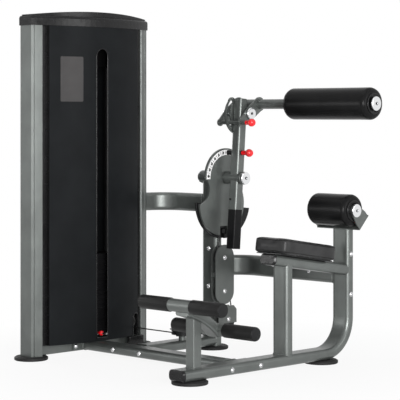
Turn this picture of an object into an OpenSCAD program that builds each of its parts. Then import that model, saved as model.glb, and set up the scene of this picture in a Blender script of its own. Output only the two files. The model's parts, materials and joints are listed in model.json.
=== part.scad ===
// Ab crunch machine with an enclosed weight stack.
// A slim tower holds the stack; a floor frame carries the seat, the foot rest and a
// column with the swinging chest-roller arm. A steel cable runs from the cam on the
// column, round pulleys on the floor frame, up the tower and down to the stack.
// Lengths are in millimetres, +Z is up, +X runs from the tower to the seat and
// the user faces -Y. The origin is on the floor in the middle of the footprint.

/* [Tower] */
// Height of the tower shell below its crown
tower_h = 1578; // [1500:1:1650]
// Height of the crown at its middle
crown_h = 72; // [60:1:90]
// Distance from the tower's middle to each flat end
tower_half = 370; // [350:1:400]
// Half depth of the tower at its middle
tower_mid_half = 110; // [100:1:120]
// Half depth of the tower at its flat ends
tower_end_half = 40; // [35:1:50]
// Length of each post along the tower
post_len = 57; // [52:1:65]
// Width of the selector slot
slot_w = 72; // [60:1:80]
// Height of the top of the selector slot
slot_top = 1474; // [1300:1:1500]

/* [Weight stack] */
// Number of plates that hang on the selector rod
plate_count = 15; // [8:1:20]
// Height of one plate
plate_h = 23; // [20:1:24]
// Width of a plate along the tower
plate_w = 320; // [280:1:340]
// Depth of a plate
plate_d = 108; // [90:1:116]
// Diameter of the guide rods
rod_d = 25; // [20:1:30]

/* [Floor frame] */
// Wide side of the flat-sided frame tube
tube_w = 100; // [80:1:110]
// Narrow side of the frame tube
tube_h = 50; // [40:1:60]
// Corner radius of the frame tube
tube_r = 19; // [10:1:22]
// Wall of the frame tube
tube_wall = 3; // [2:0.5:5]
// Height of the rubber feet
foot_h = 18; // [14:1:24]
// Diameter of the rubber feet
foot_d = 160; // [120:1:180]
// Distance from the tower's middle plane to the seat's middle plane
seat_x = 1033; // [980:1:1100]
// Bend radius of the seat frame, to the middle of the tube
bend_r = 160; // [130:1:190]

/* [Seat and foot rest] */
// Width of the seat cushion
cushion_w = 206; // [170:1:240]
// Length of the seat cushion
cushion_l = 382; // [320:1:400]
// Thickness of the seat cushion
cushion_t = 70; // [55:1:80]
// Angle at which the seat falls to the rear
seat_tilt = 8.8; // [4:0.1:12]
// Diameter of the padded rollers
roller_d = 150; // [130:1:160]
// Length of the chest roller
chest_l = 505; // [420:1:520]
// Length of the lumbar roller
lumbar_l = 232; // [180:1:240]
// Diameter of the foot-rest bars
foot_bar_d = 56; // [48:1:60]

/* [Arm] */
// Height of the main pivot
pivot_z = 848; // [800:1:900]
// Lean of the arm to the rear at rest
arm_tilt = 4.2; // [0:0.1:8]
// Side of the square arm tube
arm_w = 50; // [48:1:56]
// Distance from the main pivot to the start-position holes
hole_ring_r = 123; // [115:1:128]
// Distance from the link pivot to the roller bar
link_r = 82; // [76:1:88]

/* [Hidden] */
$fn = 48;
gap = 0.3;
fit = 0.05;

// Shared heights and stations along the machine
near_end = -38;
tower_y = near_end + tower_half;
far_end = near_end + 2 * tower_half;
stack_y = 346;
beam_y = tower_y;
beam_z = foot_h + tube_h / 2;
beam_top = foot_h + tube_h;
column_x = 342;
column_y = 865;
foot_bar_upper = [-17, 339];
foot_bar_lower = [184, 221];
foot_bar_l = 488;
foot_bar_mid = seat_x - 4;
foot_post_y = 50;
foot_post_w = 50;
seat_post_y = 622;
base_near = -45;
upright_y = 1046;
bend_y = upright_y - bend_r;
bend_z = beam_z + bend_r;
seat_tube_front = [528, 504];
lumbar_axis = [984, 710];
lumbar_edge = [1012, 618];
brace_near_z = 719;
brace_near_h = 90;
brace_far_z = 407;
brace_bend = 130;
lumbar_plate_l = 92;

// A joined tube is a little smaller than the tube that it is welded to
join_drop = 4;

// Tower plan: two arcs and two flat ends
tower_bulge = tower_mid_half - tower_end_half;
arc_r = (tower_half^2 + tower_bulge^2) / (2 * tower_bulge);
panel_z = 66;
panel_gap = 30;
panel_t = 3;
panel_half = tower_half - post_len - panel_gap;
crown_band = 46;
crown_step = 5;
crown_grow = 5;
post_edge = 10;
post_foot = 32.5;
dome_rise = crown_h - crown_band - crown_step;
dome_r = (tower_half^2 + dome_rise^2) / (2 * dome_rise);

// Stack
base_beam_w = 60;
deck_t = 6;
buffer_h = 18;
stack_z = panel_z + deck_t + buffer_h;
plate_pitch = plate_h + 1;
head_h = 30;
head_z = stack_z + plate_count * plate_pitch;
head_top = head_z + head_h;
rod_gap = 125;
rod_seat = 20;
crown_beam_z = 1412;
crown_beam_h = 32;
selector_rod_d = 26;
rod_nut_h = 14;
pin_d = 10;
pin_z = stack_z + plate_h / 2;

// Cable and pulleys
cable_d = 6;
groove_r = 45;
groove_clear = 1.2;
small_groove_r = 32;
flange_rise = 7;
pulley_w = 20;
axle_d = 12;
cable_x = 412;
cable_y = 588;
cable_z = 105;
guide_upper = [column_y, 454];
guide_lower = [column_y, 290];
column_pulley_at = [893, cable_z + groove_r];
corner_at = [cable_x - groove_r, cable_y + groove_r];
tower_foot_at = [small_groove_r, cable_z + small_groove_r];
top_pulley_z = 1510;
top_far_y = cable_y - groove_r;
top_near_y = stack_y + groove_r;

// Cam, arm and link, along X
pivot = [column_y, pivot_z];
arm_x = 511;
cam_plate_x = 428;
cam_plate_t = 10;
sheave_x = 402;
sheave_t = 26;
sheave_r = 180;
sheave_drop = 118;
sheave_tilt = 6.2;
housing_x0 = 279;
housing_x1 = 398;
housing_d = 64;
shaft_d = 40;
shaft_x0 = 275;
hub_x0 = 441;
hub_x1 = 562;
hub_d = 62;
arm_up = 384;
arm_down = 154;
weight_l = 191;
link_pivot = [911, 1162];
link_angle = 34;
bar_r = 78;
bar_d = 20;
bar_x0 = 408;
bar_x1 = 590;
link_plate_t = 8;
link_far_x = 412;
link_near_x = 550;
link_w = 66;
index_r = 100;
roller_tube_d = 48;
clevis_at = [-17, -262];
chest_axis = link_pivot + link_r * [cos(link_angle), sin(link_angle)];
bar_axis = link_pivot - bar_r * [cos(link_angle), sin(link_angle)];
slot_a0 = 136;
slot_a1 = 217;
scale_step = 15;
scale_holes = 7;
cap_t = 9;
chest_x1 = seat_x + 240;
chest_x0 = chest_x1 - chest_l;
roller_tube_end = chest_x1 + 10;
ring_proud = 5;

// Middle of the footprint, which becomes the origin
mid_x = (roller_tube_end + cap_t - tower_mid_half - crown_grow) / 2;
mid_y = (lumbar_edge[0] + lumbar_plate_l * cos(45) + near_end + post_foot - foot_d / 2) / 2;

// Colours of the finishes
grey_paint = [0.36, 0.38, 0.37];
dark_paint = [0.2, 0.21, 0.21];
black_plastic = [0.08, 0.08, 0.08];
black_vinyl = [0.1, 0.1, 0.1];
bright_steel = [0.8, 0.8, 0.8];
knob_red = [0.85, 0.05, 0.08];

// Shared shapes

// Rectangle with round corners
module rounded(w, h, r) {
    square([w - 2 * r, h], center = true);
    square([w, h - 2 * r], center = true);
    for (sx = [-1, 1], sy = [-1, 1])
        translate([sx * (w / 2 - r), sy * (h / 2 - r)]) circle(r);
}

// Section of the frame tube; inset by the wall it is the section of the hollow
module tube_section(w, h, inset) rounded(w - 2 * inset, h - 2 * inset, tube_r - inset);

// Straight frame tube along Y or X from the first station to the second
module along_y(x, z, y0, y1)
    translate([x, y0, z]) rotate([-90, 0, 0]) linear_extrude(y1 - y0) children();
module along_x(y, z, x0, x1)
    translate([x0, y, z]) rotate([90, 0, 90]) linear_extrude(x1 - x0) children();
module along_z(x, y, z0, z1) translate([x, y, z0]) linear_extrude(z1 - z0) children();

// Round bar along X through a point of the side view
module pin_x(at, x0, x1, d)
    translate([x0, at[0], at[1]]) rotate([0, 90, 0]) cylinder(h = x1 - x0, d = d);

// Revolve about an axis along X: the profile's first coordinate is the radius
module spin_x(at, x) translate([x, at[0], at[1]]) rotate([0, 90, 0]) rotate_extrude() children();

// Arc of a tube in the side view, from angle a0 to a1 measured from +Y towards +Z
module arc_x(at, x, a0, a1) {
    translate([x, at[0], at[1]]) rotate([0, 90, 0]) rotate([0, 0, 90 + a0])
        rotate_extrude(angle = a1 - a0) children();
}

// Plate in the side view, drawn in Y and Z
module plate_x(at, x, t) translate([x, at[0], at[1]]) rotate([90, 0, 90]) linear_extrude(t) children();

// Plan of the tower, grown or shrunk all round
module tower_plan(grow = 0) {
    intersection() {
        translate([tower_mid_half - arc_r, 0]) circle(arc_r + grow, $fn = 200);
        translate([arc_r - tower_mid_half, 0]) circle(arc_r + grow, $fn = 200);
        square([4 * tower_mid_half, 2 * (tower_half + grow)], center = true);
    }
}

module in_tower(z) translate([0, tower_y, z]) children();

// Button-head screw with a hexagon socket, standing on the plane z = 0
module bolt_head(d = 24) {
    h = d * 0.32;
    dome = (d^2 / 4 + h^2) / (2 * h);
    difference() {
        rotate_extrude() intersection() {
            translate([0, h - dome]) circle(dome);
            square([d / 2, h]);
        }
        translate([0, 0, h * 0.4]) cylinder(h = h, d = d * 0.5, $fn = 6);
    }
}

// Bright turned cap with a recessed middle, along +X from its back face
module turned_cap(at, x, d) {
    spin_x(at, x) difference() {
        union() {
            square([d / 2, 5]);
            translate([0, 5]) square([d / 2 - 4, 4]);
            translate([d / 2 - 4, 5]) circle(4);
        }
        translate([-10, -10]) square([10, 40]);
        translate([0, 5]) square([d / 7, 10]);
        translate([-1, -10]) square([d, 10]);
    }
}

// Ball knob with a neck, along +X from its back face
module pull_knob(at, x, d, l) {
    spin_x(at, x) difference() {
        union() {
            square([d * 0.29, l - d / 2]);
            translate([0, l - d / 2]) circle(d / 2);
        }
        translate([-d, -d]) square([d, 4 * d]);
        translate([-d, l - d * 0.1]) square([3 * d, d]);
    }
}

// Tower

function half_depth(y) = sqrt(arc_r^2 - y^2) - arc_r + tower_mid_half;

// Block that the tower plan is cut with, its two inner edges rounded
module post_block() {
    inner = tower_half - post_len;
    flat = half_depth(inner) - post_edge;
    translate([-tower_mid_half, inner + post_edge]) square([2 * tower_mid_half, post_len - post_edge]);
    translate([-flat, inner]) square([2 * flat, post_len]);
    for (sx = [-1, 1]) translate([sx * flat, inner + post_edge]) circle(post_edge);
}
module post_plan(side) {
    difference() {
        intersection() {
            tower_plan();
            mirror([0, side < 0 ? 1 : 0]) post_block();
        }
        // Bead line down each broad face
        for (sx = [-1, 1])
            translate([sx * (tower_end_half + 4), side * (tower_half - 13)]) circle(3);
        // Hollow of the section
        intersection() {
            tower_plan(-5);
            translate([-tower_mid_half, side > 0 ? tower_half - post_len + 5 : -tower_half])
                square([2 * tower_mid_half, post_len - 5]);
        }
    }
}
module tower_posts() {
    color(grey_paint) in_tower(foot_h) linear_extrude(tower_h - foot_h)
        for (side = [-1, 1]) post_plan(side);
}

// Bottom beam between the posts, under the stack
module tower_base() {
    color(grey_paint) difference() {
        union() {
            along_y(0, (foot_h + panel_z) / 2, near_end + post_len, far_end - post_len)
                rounded(base_beam_w, panel_z - foot_h, 6);
            // Deck that the buffers stand on
            translate([-45, stack_y - 190, panel_z]) cube([90, 380, deck_t]);
        }
        along_y(0, (foot_h + panel_z) / 2, near_end, far_end)
            rounded(base_beam_w - 6, panel_z - foot_h - 6, 3);
        for (s = [-1, 1])
            translate([0, stack_y + s * rod_gap, panel_z - rod_seat]) cylinder(h = 2 * rod_seat, d = rod_d);
    }
}

// Top beam that holds the guide rods and carries the top pulleys; the cable passes through it
module crown_beam() {
    mid = crown_beam_z + crown_beam_h / 2;
    color(dark_paint) difference() {
        along_y(0, mid, near_end + post_len, far_end - post_len) rounded(60, crown_beam_h, 5);
        along_y(0, mid, near_end, far_end) rounded(54, crown_beam_h - 6, 3);
        for (s = [-1, 1])
            translate([0, stack_y + s * rod_gap, crown_beam_z - 1]) cylinder(h = rod_seat + 1, d = rod_d);
        for (y = [stack_y, cable_y])
            translate([0, y, crown_beam_z - 1]) cylinder(h = crown_beam_h + 2, d = 3 * cable_d);
    }
}

// Moulded crown: a band, a shadow step and a shallow dome
module tower_crown() {
    color(black_plastic) in_tower(tower_h) {
        difference() {
            union() {
                hull() for (edge = [[12, 0], [5, 1.5], [1.5, 4.5], [0, 8]])
                    linear_extrude(crown_band - edge[0]) tower_plan(crown_grow - edge[1]);
                translate([0, 0, crown_band]) linear_extrude(crown_step) tower_plan(-6);
                intersection() {
                    translate([0, 0, crown_band + crown_step]) linear_extrude(crown_h) tower_plan(-1);
                    translate([-tower_mid_half * 2, 0, crown_h - dome_r]) rotate([0, 90, 0])
                        cylinder(h = tower_mid_half * 4, r = dome_r, $fn = 200);
                }
            }
            translate([0, 0, -1]) linear_extrude(crown_band - 6) tower_plan(-6);
        }
    }
}

// Curved sheet between the posts, on one face of the tower
module panel_sheet(side) {
    in_tower(panel_z) linear_extrude(tower_h - panel_z) difference() {
        intersection() {
            tower_plan(-1);
            translate([side > 0 ? 0 : -2 * tower_mid_half, -panel_half])
                square([2 * tower_mid_half, 2 * panel_half]);
        }
        tower_plan(-1 - panel_t);
    }
}
module slot_cut(y, w, z0, z1) {
    translate([0, y - w / 2, z0]) cube([2 * tower_mid_half, w, z1 - w / 2 - z0]);
    translate([0, y, z1 - w / 2]) rotate([0, 90, 0]) cylinder(h = 2 * tower_mid_half, d = w);
}
module front_panel() {
    color(dark_paint) difference() {
        panel_sheet(1);
        slot_cut(stack_y, slot_w, 80, slot_top);
        slot_cut(cable_y + 10, 44, 0, 176);
    }
}
module rear_panel() color(dark_paint) panel_sheet(-1);

// Dark channels that close the shadow gaps between panels and posts
channel_x = 46;
channel_t = 4;
module channel_plan() {
    translate([channel_x, panel_half - channel_t]) square([channel_t, panel_gap + channel_t]);
    intersection() {
        translate([channel_x, panel_half - channel_t]) square([tower_mid_half, channel_t]);
        tower_plan(-1 - panel_t);
    }
}
module panel_channels() {
    color(black_plastic) in_tower(panel_z) linear_extrude(tower_h - panel_z)
        for (mx = [0, 1], my = [0, 1]) mirror([mx, 0]) mirror([0, my]) channel_plan();
}

// Weight stack

module guide_rods() {
    foot = panel_z - rod_seat;
    color(dark_paint) for (s = [-1, 1])
        translate([0, stack_y + s * rod_gap, foot]) cylinder(h = crown_beam_z + rod_seat - foot, d = rod_d);
}
module stack_buffers() {
    color(black_plastic) for (s = [-1, 1])
        translate([0, stack_y + s * rod_gap, panel_z + deck_t]) difference() {
            cylinder(h = buffer_h - gap, d = 70);
            translate([0, 0, -1]) cylinder(h = buffer_h + 2, d = rod_d);
        }
}
module weight_plates() {
    color(black_plastic) for (i = [0 : plate_count - 1])
        translate([0, stack_y, stack_z + i * plate_pitch]) difference() {
            linear_extrude(plate_h) rounded(plate_d, plate_w, 10);
            for (s = [-1, 1]) translate([0, s * rod_gap, -1]) cylinder(h = plate_h + 2, d = rod_d + 10);
            translate([0, 0, -1]) cylinder(h = plate_h + 2, d = selector_rod_d + 2);
            translate([0, 0, plate_h / 2]) rotate([0, 90, 0]) cylinder(h = plate_d, d = pin_d + 2);
        }
}
module head_plate() {
    color(dark_paint) translate([0, stack_y, head_z]) difference() {
        linear_extrude(head_h) rounded(plate_d, plate_w, 10);
        for (s = [-1, 1]) translate([0, s * rod_gap, -1]) cylinder(h = head_h + 2, d = rod_d + 2 * gap);
        translate([0, 0, -1]) cylinder(h = head_h + 2, d = selector_rod_d);
    }
}
module selector_rod() {
    color(bright_steel) translate([0, stack_y, stack_z]) difference() {
        union() {
            cylinder(h = head_top - stack_z, d = selector_rod_d);
            translate([0, 0, head_top - stack_z]) cylinder(h = rod_nut_h, d = 36, $fn = 6);
        }
        for (i = [0 : plate_count - 1])
            translate([-30, 0, i * plate_pitch + plate_h / 2]) rotate([0, 90, 0])
                cylinder(h = 60, d = pin_d + 1);
    }
}
selector_knob_x = 86;
selector_tip = 54;
module selector_pin()
    color(bright_steel) pin_x([stack_y, pin_z], -11, selector_knob_x + selector_tip, pin_d);
module selector_knob() {
    color(knob_red) difference() {
        pull_knob([stack_y, pin_z], selector_knob_x, 24, 28);
        pin_x([stack_y, pin_z], 0, 200, pin_d);
    }
}

// Floor frame

// Solid envelope of the bent seat frame; inset by the wall it is the hollow
module seat_frame_form(inset) {
    along_y(seat_x, beam_z, base_near - inset, bend_y) tube_section(tube_w, tube_h, inset);
    arc_x([bend_y, bend_z], seat_x, -90, 0) translate([bend_r, 0]) tube_section(tube_h, tube_w, inset);
    along_z(seat_x, upright_y, bend_z, 700 + inset) tube_section(tube_w, tube_h, inset);
}

// Everything on the front upper side of the lumbar bracket's sloping seat
module above_lumbar_slope() {
    translate([seat_x, lumbar_edge[0], lumbar_edge[1]]) rotate([45, 0, 0])
        translate([-300, -400, 0]) cube([600, 900, 500]);
}
module seat_frame() {
    color(grey_paint) difference() {
        seat_frame_form(0);
        seat_frame_form(tube_wall);
        above_lumbar_slope();
    }
}

// Seat tube, drawn along its own slope from the front end
module on_seat_slope() {
    translate([seat_x, seat_tube_front[0], seat_tube_front[1]]) rotate([-seat_tilt, 0, 0]) children();
}
seat_tube_w = tube_w - join_drop;
module seat_tube_form(inset)
    on_seat_slope() along_y(0, 0, -inset, 540) tube_section(seat_tube_w, tube_h, inset);
module seat_tube() {
    color(grey_paint) difference() {
        seat_tube_form(0);
        seat_tube_form(tube_wall);
        along_z(seat_x, upright_y, 200, 600) tube_section(tube_w, tube_h, 0);
        translate([seat_x - tube_w, upright_y, 0]) cube([2 * tube_w, 400, 1000]);
    }
}
module seat_post() {
    post_w = seat_tube_w - join_drop;
    color(grey_paint) difference() {
        along_z(seat_x, seat_post_y, beam_z, seat_tube_front[1] - 15) tube_section(post_w, tube_h, 0);
        along_z(seat_x, seat_post_y, 0, 600) tube_section(post_w, tube_h, tube_wall);
        seat_frame_form(0);
        seat_tube_form(0);
    }
}

// Floor beams end in flanges with two bolts
flange_l = 216;
flange_t = 8;
flange_bolt = 91;
beam_w = tube_w - join_drop;
beam_h = tube_h - join_drop;
beam_near_x = base_beam_w / 2;
beam_far_x = seat_x - tube_w / 2;
module main_beam() {
    color(grey_paint) {
        difference() {
            along_x(beam_y, beam_z, beam_near_x + flange_t, beam_far_x - flange_t)
                tube_section(beam_w, beam_h, 0);
            along_x(beam_y, beam_z, 0, seat_x) tube_section(beam_w, beam_h, tube_wall);
        }
        for (x = [beam_near_x, beam_far_x - flange_t])
            along_x(beam_y, beam_z, x, x + flange_t) rounded(flange_l, beam_h - 4, 6);
    }
}
module cross_beam() {
    face = beam_y + beam_w / 2;
    color(grey_paint) {
        difference() {
            along_y(column_x, beam_z, face + flange_t, column_y) tube_section(beam_w, beam_h, 0);
            along_y(column_x, beam_z, beam_y, column_y + 1) tube_section(beam_w, beam_h, tube_wall);
            column_form(0);
        }
        along_y(column_x, beam_z, face, face + flange_t) rounded(flange_l, beam_h - 8, 6);
    }
}
module column_form(inset) along_z(column_x, column_y, foot_h, pivot_z) tube_section(tube_w, tube_h, inset);

// Post with the long bearing housing of the main pivot across its head
module column() {
    color(grey_paint) difference() {
        union() {
            difference() {
                column_form(0);
                along_z(column_x, column_y, 0, pivot_z) tube_section(tube_w, tube_h, tube_wall);
            }
            pin_x(pivot, housing_x0, housing_x1, housing_d);
        }
        pin_x(pivot, 0, 1000, shaft_d + 2 * fit);
    }
}

// Bent brace in plan: from a wall across Y it runs along +Y, turns and runs along +X
module brace_form(x, y0, y1, x1, z, h, inset) {
    w = tube_h - join_drop;
    bend_at = y1 - brace_bend;
    along_y(x, z, y0 - inset, bend_at) tube_section(w, h, inset);
    translate([x + brace_bend, bend_at, z]) rotate([0, 0, 90]) rotate_extrude(angle = 90)
        translate([brace_bend, 0]) tube_section(w, h, inset);
    along_x(y1, z, x + brace_bend, x1 + inset) tube_section(w, h, inset);
}
module tower_brace_form(inset)
    brace_form(0, far_end, column_y, column_x, brace_near_z, brace_near_h, inset);
brace_flange_z = 749;
brace_flange_h = 210;
module tower_brace() {
    color(grey_paint) difference() {
        union() {
            tower_brace_form(0);
            along_y(0, brace_flange_z, far_end, far_end + flange_t) rounded(60, brace_flange_h, 6);
        }
        tower_brace_form(tube_wall);
        column_form(0);
    }
}
module seat_brace_form(inset)
    brace_form(column_x, column_y + tube_h / 2, upright_y, seat_x, brace_far_z, tube_w, inset);
module seat_brace() {
    color(grey_paint) difference() {
        seat_brace_form(0);
        seat_brace_form(tube_wall);
        seat_frame_form(0);
        seat_tube_form(0);
    }
}

// Plastic plugs in the open tube ends
module plug(w) {
    rim = 4;
    chamfer = 7;
    groove = 3;
    difference() {
        hull() {
            linear_extrude(rim) rounded(w, tube_h, tube_r, $fn = 32);
            linear_extrude(rim + chamfer)
                rounded(w - 2 * chamfer, tube_h - 2 * chamfer, tube_r - chamfer, $fn = 32);
        }
        for (y = [-2 * groove, 2 * groove])
            translate([-w, y - groove / 2, rim + chamfer - groove]) cube([2 * w, groove, 2 * groove]);
    }
}
module tube_end_caps() {
    color(black_plastic) {
        translate([seat_x, base_near, beam_z]) rotate([90, 0, 0]) plug(tube_w);
        on_seat_slope() rotate([90, 0, 0]) plug(seat_tube_w);
    }
}
module rubber_feet() {
    color(black_plastic)
        for (at = [[0, near_end + post_foot], [0, far_end - post_foot], [column_x, column_y],
                [seat_x, base_near + 72], [seat_x, bend_y]])
            translate([at[0], at[1], 0]) rotate_extrude()
                polygon([[0, 0], [foot_d / 2 - 3, 0], [foot_d / 2, 3], [foot_d / 2, foot_h - 5],
                    [foot_d / 2 - 8, foot_h], [0, foot_h]]);
}

// Seat

plate_gap = tube_h / 2;
module seat_plate() {
    color(dark_paint) on_seat_slope()
        translate([0, 40, plate_gap]) linear_extrude(5) translate([0, 150]) rounded(130, 290, 12);
}

// Crowned cushion: rings of a rounded outline that swell and close over the top
cushion_base = plate_gap + 5;
cushion_nose = 17;
ring_pts = 48;
function corner_power(a, p) = [sign(cos(a)) * pow(abs(cos(a)), p), sign(sin(a)) * pow(abs(sin(a)), p)];
function cushion_ring(w, l, z, crown) = [
    for (i = [0 : ring_pts - 1])
        let (c = corner_power(360 * i / ring_pts, 0.27), pull = 1 - 0.02 * (1 - abs(c[0] * c[1])))
            [c[0] * w / 2 * pull, c[1] * l / 2 * pull, z + crown * (1 - c[0]^2 * 0.5 - c[1]^2 * 0.5)]
];
module cushion_form() {
    t = cushion_t;
    levels = [[0.955, 0, 0], [0.985, 0.05, 0], [1, 0.18, 0], [1, 0.5, 0], [0.995, 0.78, 0], [0.975, 0.9, 0.5],
        [0.93, 0.965, 1.5], [0.8, 0.985, 3], [0.55, 1, 4], [0.25, 1.02, 4]];
    rings = [for (v = levels) let (draw = (1 - v[0]) * 130)
        cushion_ring(cushion_w - draw, cushion_l - draw, v[1] * t, v[2])];
    inner = [for (s = [0.6, 0.2]) [for (p = rings[len(rings) - 1]) [p[0] * s, p[1] * s, 1.03 * t + 4]]];
    all = concat(rings, inner);
    n = len(all);
    pts = concat([for (r = all) each r], [[0, 0, 0], [0, 0, 1.03 * t + 4]]);
    sides = [for (k = [0 : n - 2], i = [0 : ring_pts - 1]) let (j = (i + 1) % ring_pts, a = k * ring_pts)
        each [[a + i, a + ring_pts + i, a + j], [a + j, a + ring_pts + i, a + ring_pts + j]]];
    caps = [for (i = [0 : ring_pts - 1]) let (j = (i + 1) % ring_pts, a = (n - 1) * ring_pts)
        each [[i, j, n * ring_pts], [a + j, a + i, n * ring_pts + 1]]];
    polyhedron(pts, concat(sides, caps));
}
module seat_cushion() {
    color(black_vinyl) on_seat_slope() translate([0, cushion_l / 2 - cushion_nose, cushion_base]) cushion_form();
}

// Foot rest

beam_r = 420;
beam_drop = 22;
beam_a = foot_bar_upper - [0, beam_drop];
beam_b = foot_bar_lower - [0, beam_drop - 6];
beam_half = norm(beam_b - beam_a) / 2;
beam_dir = (beam_b - beam_a) / (2 * beam_half);
beam_c = (beam_a + beam_b) / 2 + sqrt(beam_r^2 - beam_half^2) * [beam_dir[1], -beam_dir[0]];
function angle_of(v) = atan2(v[1], v[0]);
module foot_bar(at) pin_x(at, foot_bar_mid - foot_bar_l / 2, foot_bar_mid + foot_bar_l / 2, foot_bar_d);
foot_beam_w = 80;
foot_beam_t = 44;
module along_foot_beam()
    arc_x(beam_c, seat_x, angle_of(beam_b - beam_c), angle_of(beam_a - beam_c)) children();

// Post and arched beam, welded together; the bars lie in the beam's ends
module foot_frame() {
    color(grey_paint) difference() {
        union() {
            along_foot_beam() translate([beam_r, 0]) rounded(foot_beam_t, foot_beam_w, 14);
            difference() {
                along_z(seat_x, foot_post_y, beam_top, 330) rounded(foot_post_w, foot_post_w, 6);
                along_z(seat_x, foot_post_y, 0, 340) rounded(foot_post_w - 6, foot_post_w - 6, 3);
                along_foot_beam() translate([beam_r - 10, -100]) square([200, 200]);
            }
        }
        foot_bar(foot_bar_upper);
        foot_bar(foot_bar_lower);
    }
}
module foot_bars() {
    color(grey_paint) for (at = [foot_bar_upper, foot_bar_lower]) difference() {
        foot_bar(at);
        pin_x(at, 0, 2000, foot_bar_d - 6);
    }
}
sleeve_l = 178;
module foot_sleeves() {
    color(black_vinyl) for (at = [foot_bar_upper, foot_bar_lower], s = [-1, 1])
        translate([foot_bar_mid, 0, 0]) mirror([s < 0 ? 1 : 0, 0, 0]) spin_x(at, foot_bar_l / 2 - sleeve_l)
            difference() {
                union() {
                    square([foot_bar_d / 2 + 3, sleeve_l]);
                    translate([0, sleeve_l]) square([foot_bar_d / 2 + 1, 4]);
                }
                translate([0, -1]) square([foot_bar_d / 2, sleeve_l + 1]);
            }
}

// Rollers

// Padded roller with rounded ends and plastic end rings, centred on x
module roller(at, x, l, bore_d) {
    edge = 22;
    r = roller_d / 2;
    spin_x(at, x) difference() {
        union() {
            square([r - edge, l], center = false);
            translate([0, edge]) square([r, l - 2 * edge]);
            for (z = [edge, l - edge]) translate([r - edge, z]) circle(edge);
            translate([0, -ring_proud]) square([r * 0.66, l + 2 * ring_proud]);
        }
        translate([-300, -50]) square([300 + bore_d / 2 + fit, l + 100]);
    }
}
tab_t = 6;
ear_r = 30;
lumbar_lift = lumbar_axis - lumbar_edge;
ear_top = [lumbar_lift[1] + lumbar_lift[0], lumbar_lift[1] - lumbar_lift[0]] / sqrt(2);
tab_half = lumbar_l / 2 + 8;
module lumbar_bracket() {
    color(grey_paint) {
        // Sloping seat plate on the upright
        translate([seat_x, lumbar_edge[0], lumbar_edge[1]]) rotate([45, 0, 0])
            translate([-tab_half - tab_t, 0, 0]) cube([2 * (tab_half + tab_t), lumbar_plate_l, tab_t]);
        // Ears that taper up to the axle
        for (x = [-tab_half - tab_t, tab_half]) translate([seat_x + x, lumbar_edge[0], lumbar_edge[1]])
            rotate([45, 0, 0]) rotate([90, 0, 90]) linear_extrude(tab_t) difference() {
                union() {
                    polygon([[4, tab_t], [88, tab_t], [88, 34],
                        ear_top + [ear_r, 0], ear_top - [ear_r, 0], [4, 34]]);
                    translate(ear_top) circle(ear_r);
                }
                translate(ear_top) circle(25 / 2);
            }
    }
}
module lumbar_axle() {
    color(bright_steel) {
        pin_x(lumbar_axis, seat_x - tab_half - tab_t, seat_x + tab_half + tab_t, 25);
        turned_cap(lumbar_axis, seat_x + tab_half + tab_t, 62);
        translate([2 * seat_x, 0, 0]) mirror([1, 0, 0])
            turned_cap(lumbar_axis, seat_x + tab_half + tab_t, 62);
    }
}
module lumbar_roller() color(black_vinyl) roller(lumbar_axis, seat_x - lumbar_l / 2, lumbar_l, 25);
module chest_roller() {
    color(black_vinyl) roller(chest_axis, chest_x0, chest_l, roller_tube_d);
}

// Main pivot, cam and arm

module pivot_shaft() {
    color(bright_steel) {
        pin_x(pivot, shaft_x0, hub_x1 + 3, shaft_d);
        turned_cap(pivot, hub_x1 + 3, 62);
        pin_x(pivot, shaft_x0 - 4, shaft_x0, housing_d - 4);
    }
}

// Outline of the cam about the pivot: a sector above, a lobe below, a waist on the user's side
sector_r = 144;
lobe_at = [-27, -128];
lobe_r = 154;
waist_at = [-186, -54];
waist_r = 72;
notch_w = 50;
notch_top = -237;
module scale_holes_cut()
    for (i = [0 : scale_holes - 1]) rotate(90 - arm_tilt + i * scale_step)
        translate([hole_ring_r, 0]) circle(8);
module cam_outline() {
    flank = 40;
    difference() {
        union() {
            intersection() {
                circle(sector_r, $fn = 96);
                polygon([[-200, -25], [-200, 200], [flank, 200], [flank, 128], [118, -110], [0, -110]]);
            }
            translate(lobe_at) circle(lobe_r, $fn = 96);
        }
        translate(waist_at) circle(waist_r, $fn = 96);
        // Notch that shows the cable's clevis
        translate([clevis_at[0] - notch_w / 2, notch_top - 100]) square([notch_w, 100]);
        scale_holes_cut();
        circle(shaft_d / 2);
    }
}
module cam_plate() color(grey_paint) plate_x(pivot, cam_plate_x, cam_plate_t) cam_outline();

// Half-round sheave behind the plate, grooved for the cable, with an arm up to the shaft
module cam_sheave() {
    at = pivot - [0, sheave_drop];
    color(dark_paint) difference() {
        union() {
            intersection() {
                spin_x(at, sheave_x) square([sheave_r, sheave_t]);
                // Flat top that falls to the rear
                translate([0, pivot[0] - sheave_r, at[1]]) rotate([-sheave_tilt, 0, 0])
                    translate([0, -100, -500]) cube([1000, 600, 500]);
            }
            plate_x(pivot, sheave_x, sheave_t)
                translate([-45, -sheave_drop - 35]) square([90, sheave_drop + 35]);
            pin_x(pivot, sheave_x, sheave_x + sheave_t, 90);
        }
        spin_x(at, cable_x) translate([sheave_r, 0]) circle(5);
        pin_x(pivot, 0, 1000, shaft_d);
        // Pocket for the cable's clevis at the bottom of the rim
        translate([cable_x - 8, pivot[0] + clevis_at[0] - 16, pivot[1] - sheave_drop - sheave_r - 1])
            cube([sheave_x + sheave_t - cable_x + 9, 32, 52]);
    }
}

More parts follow.
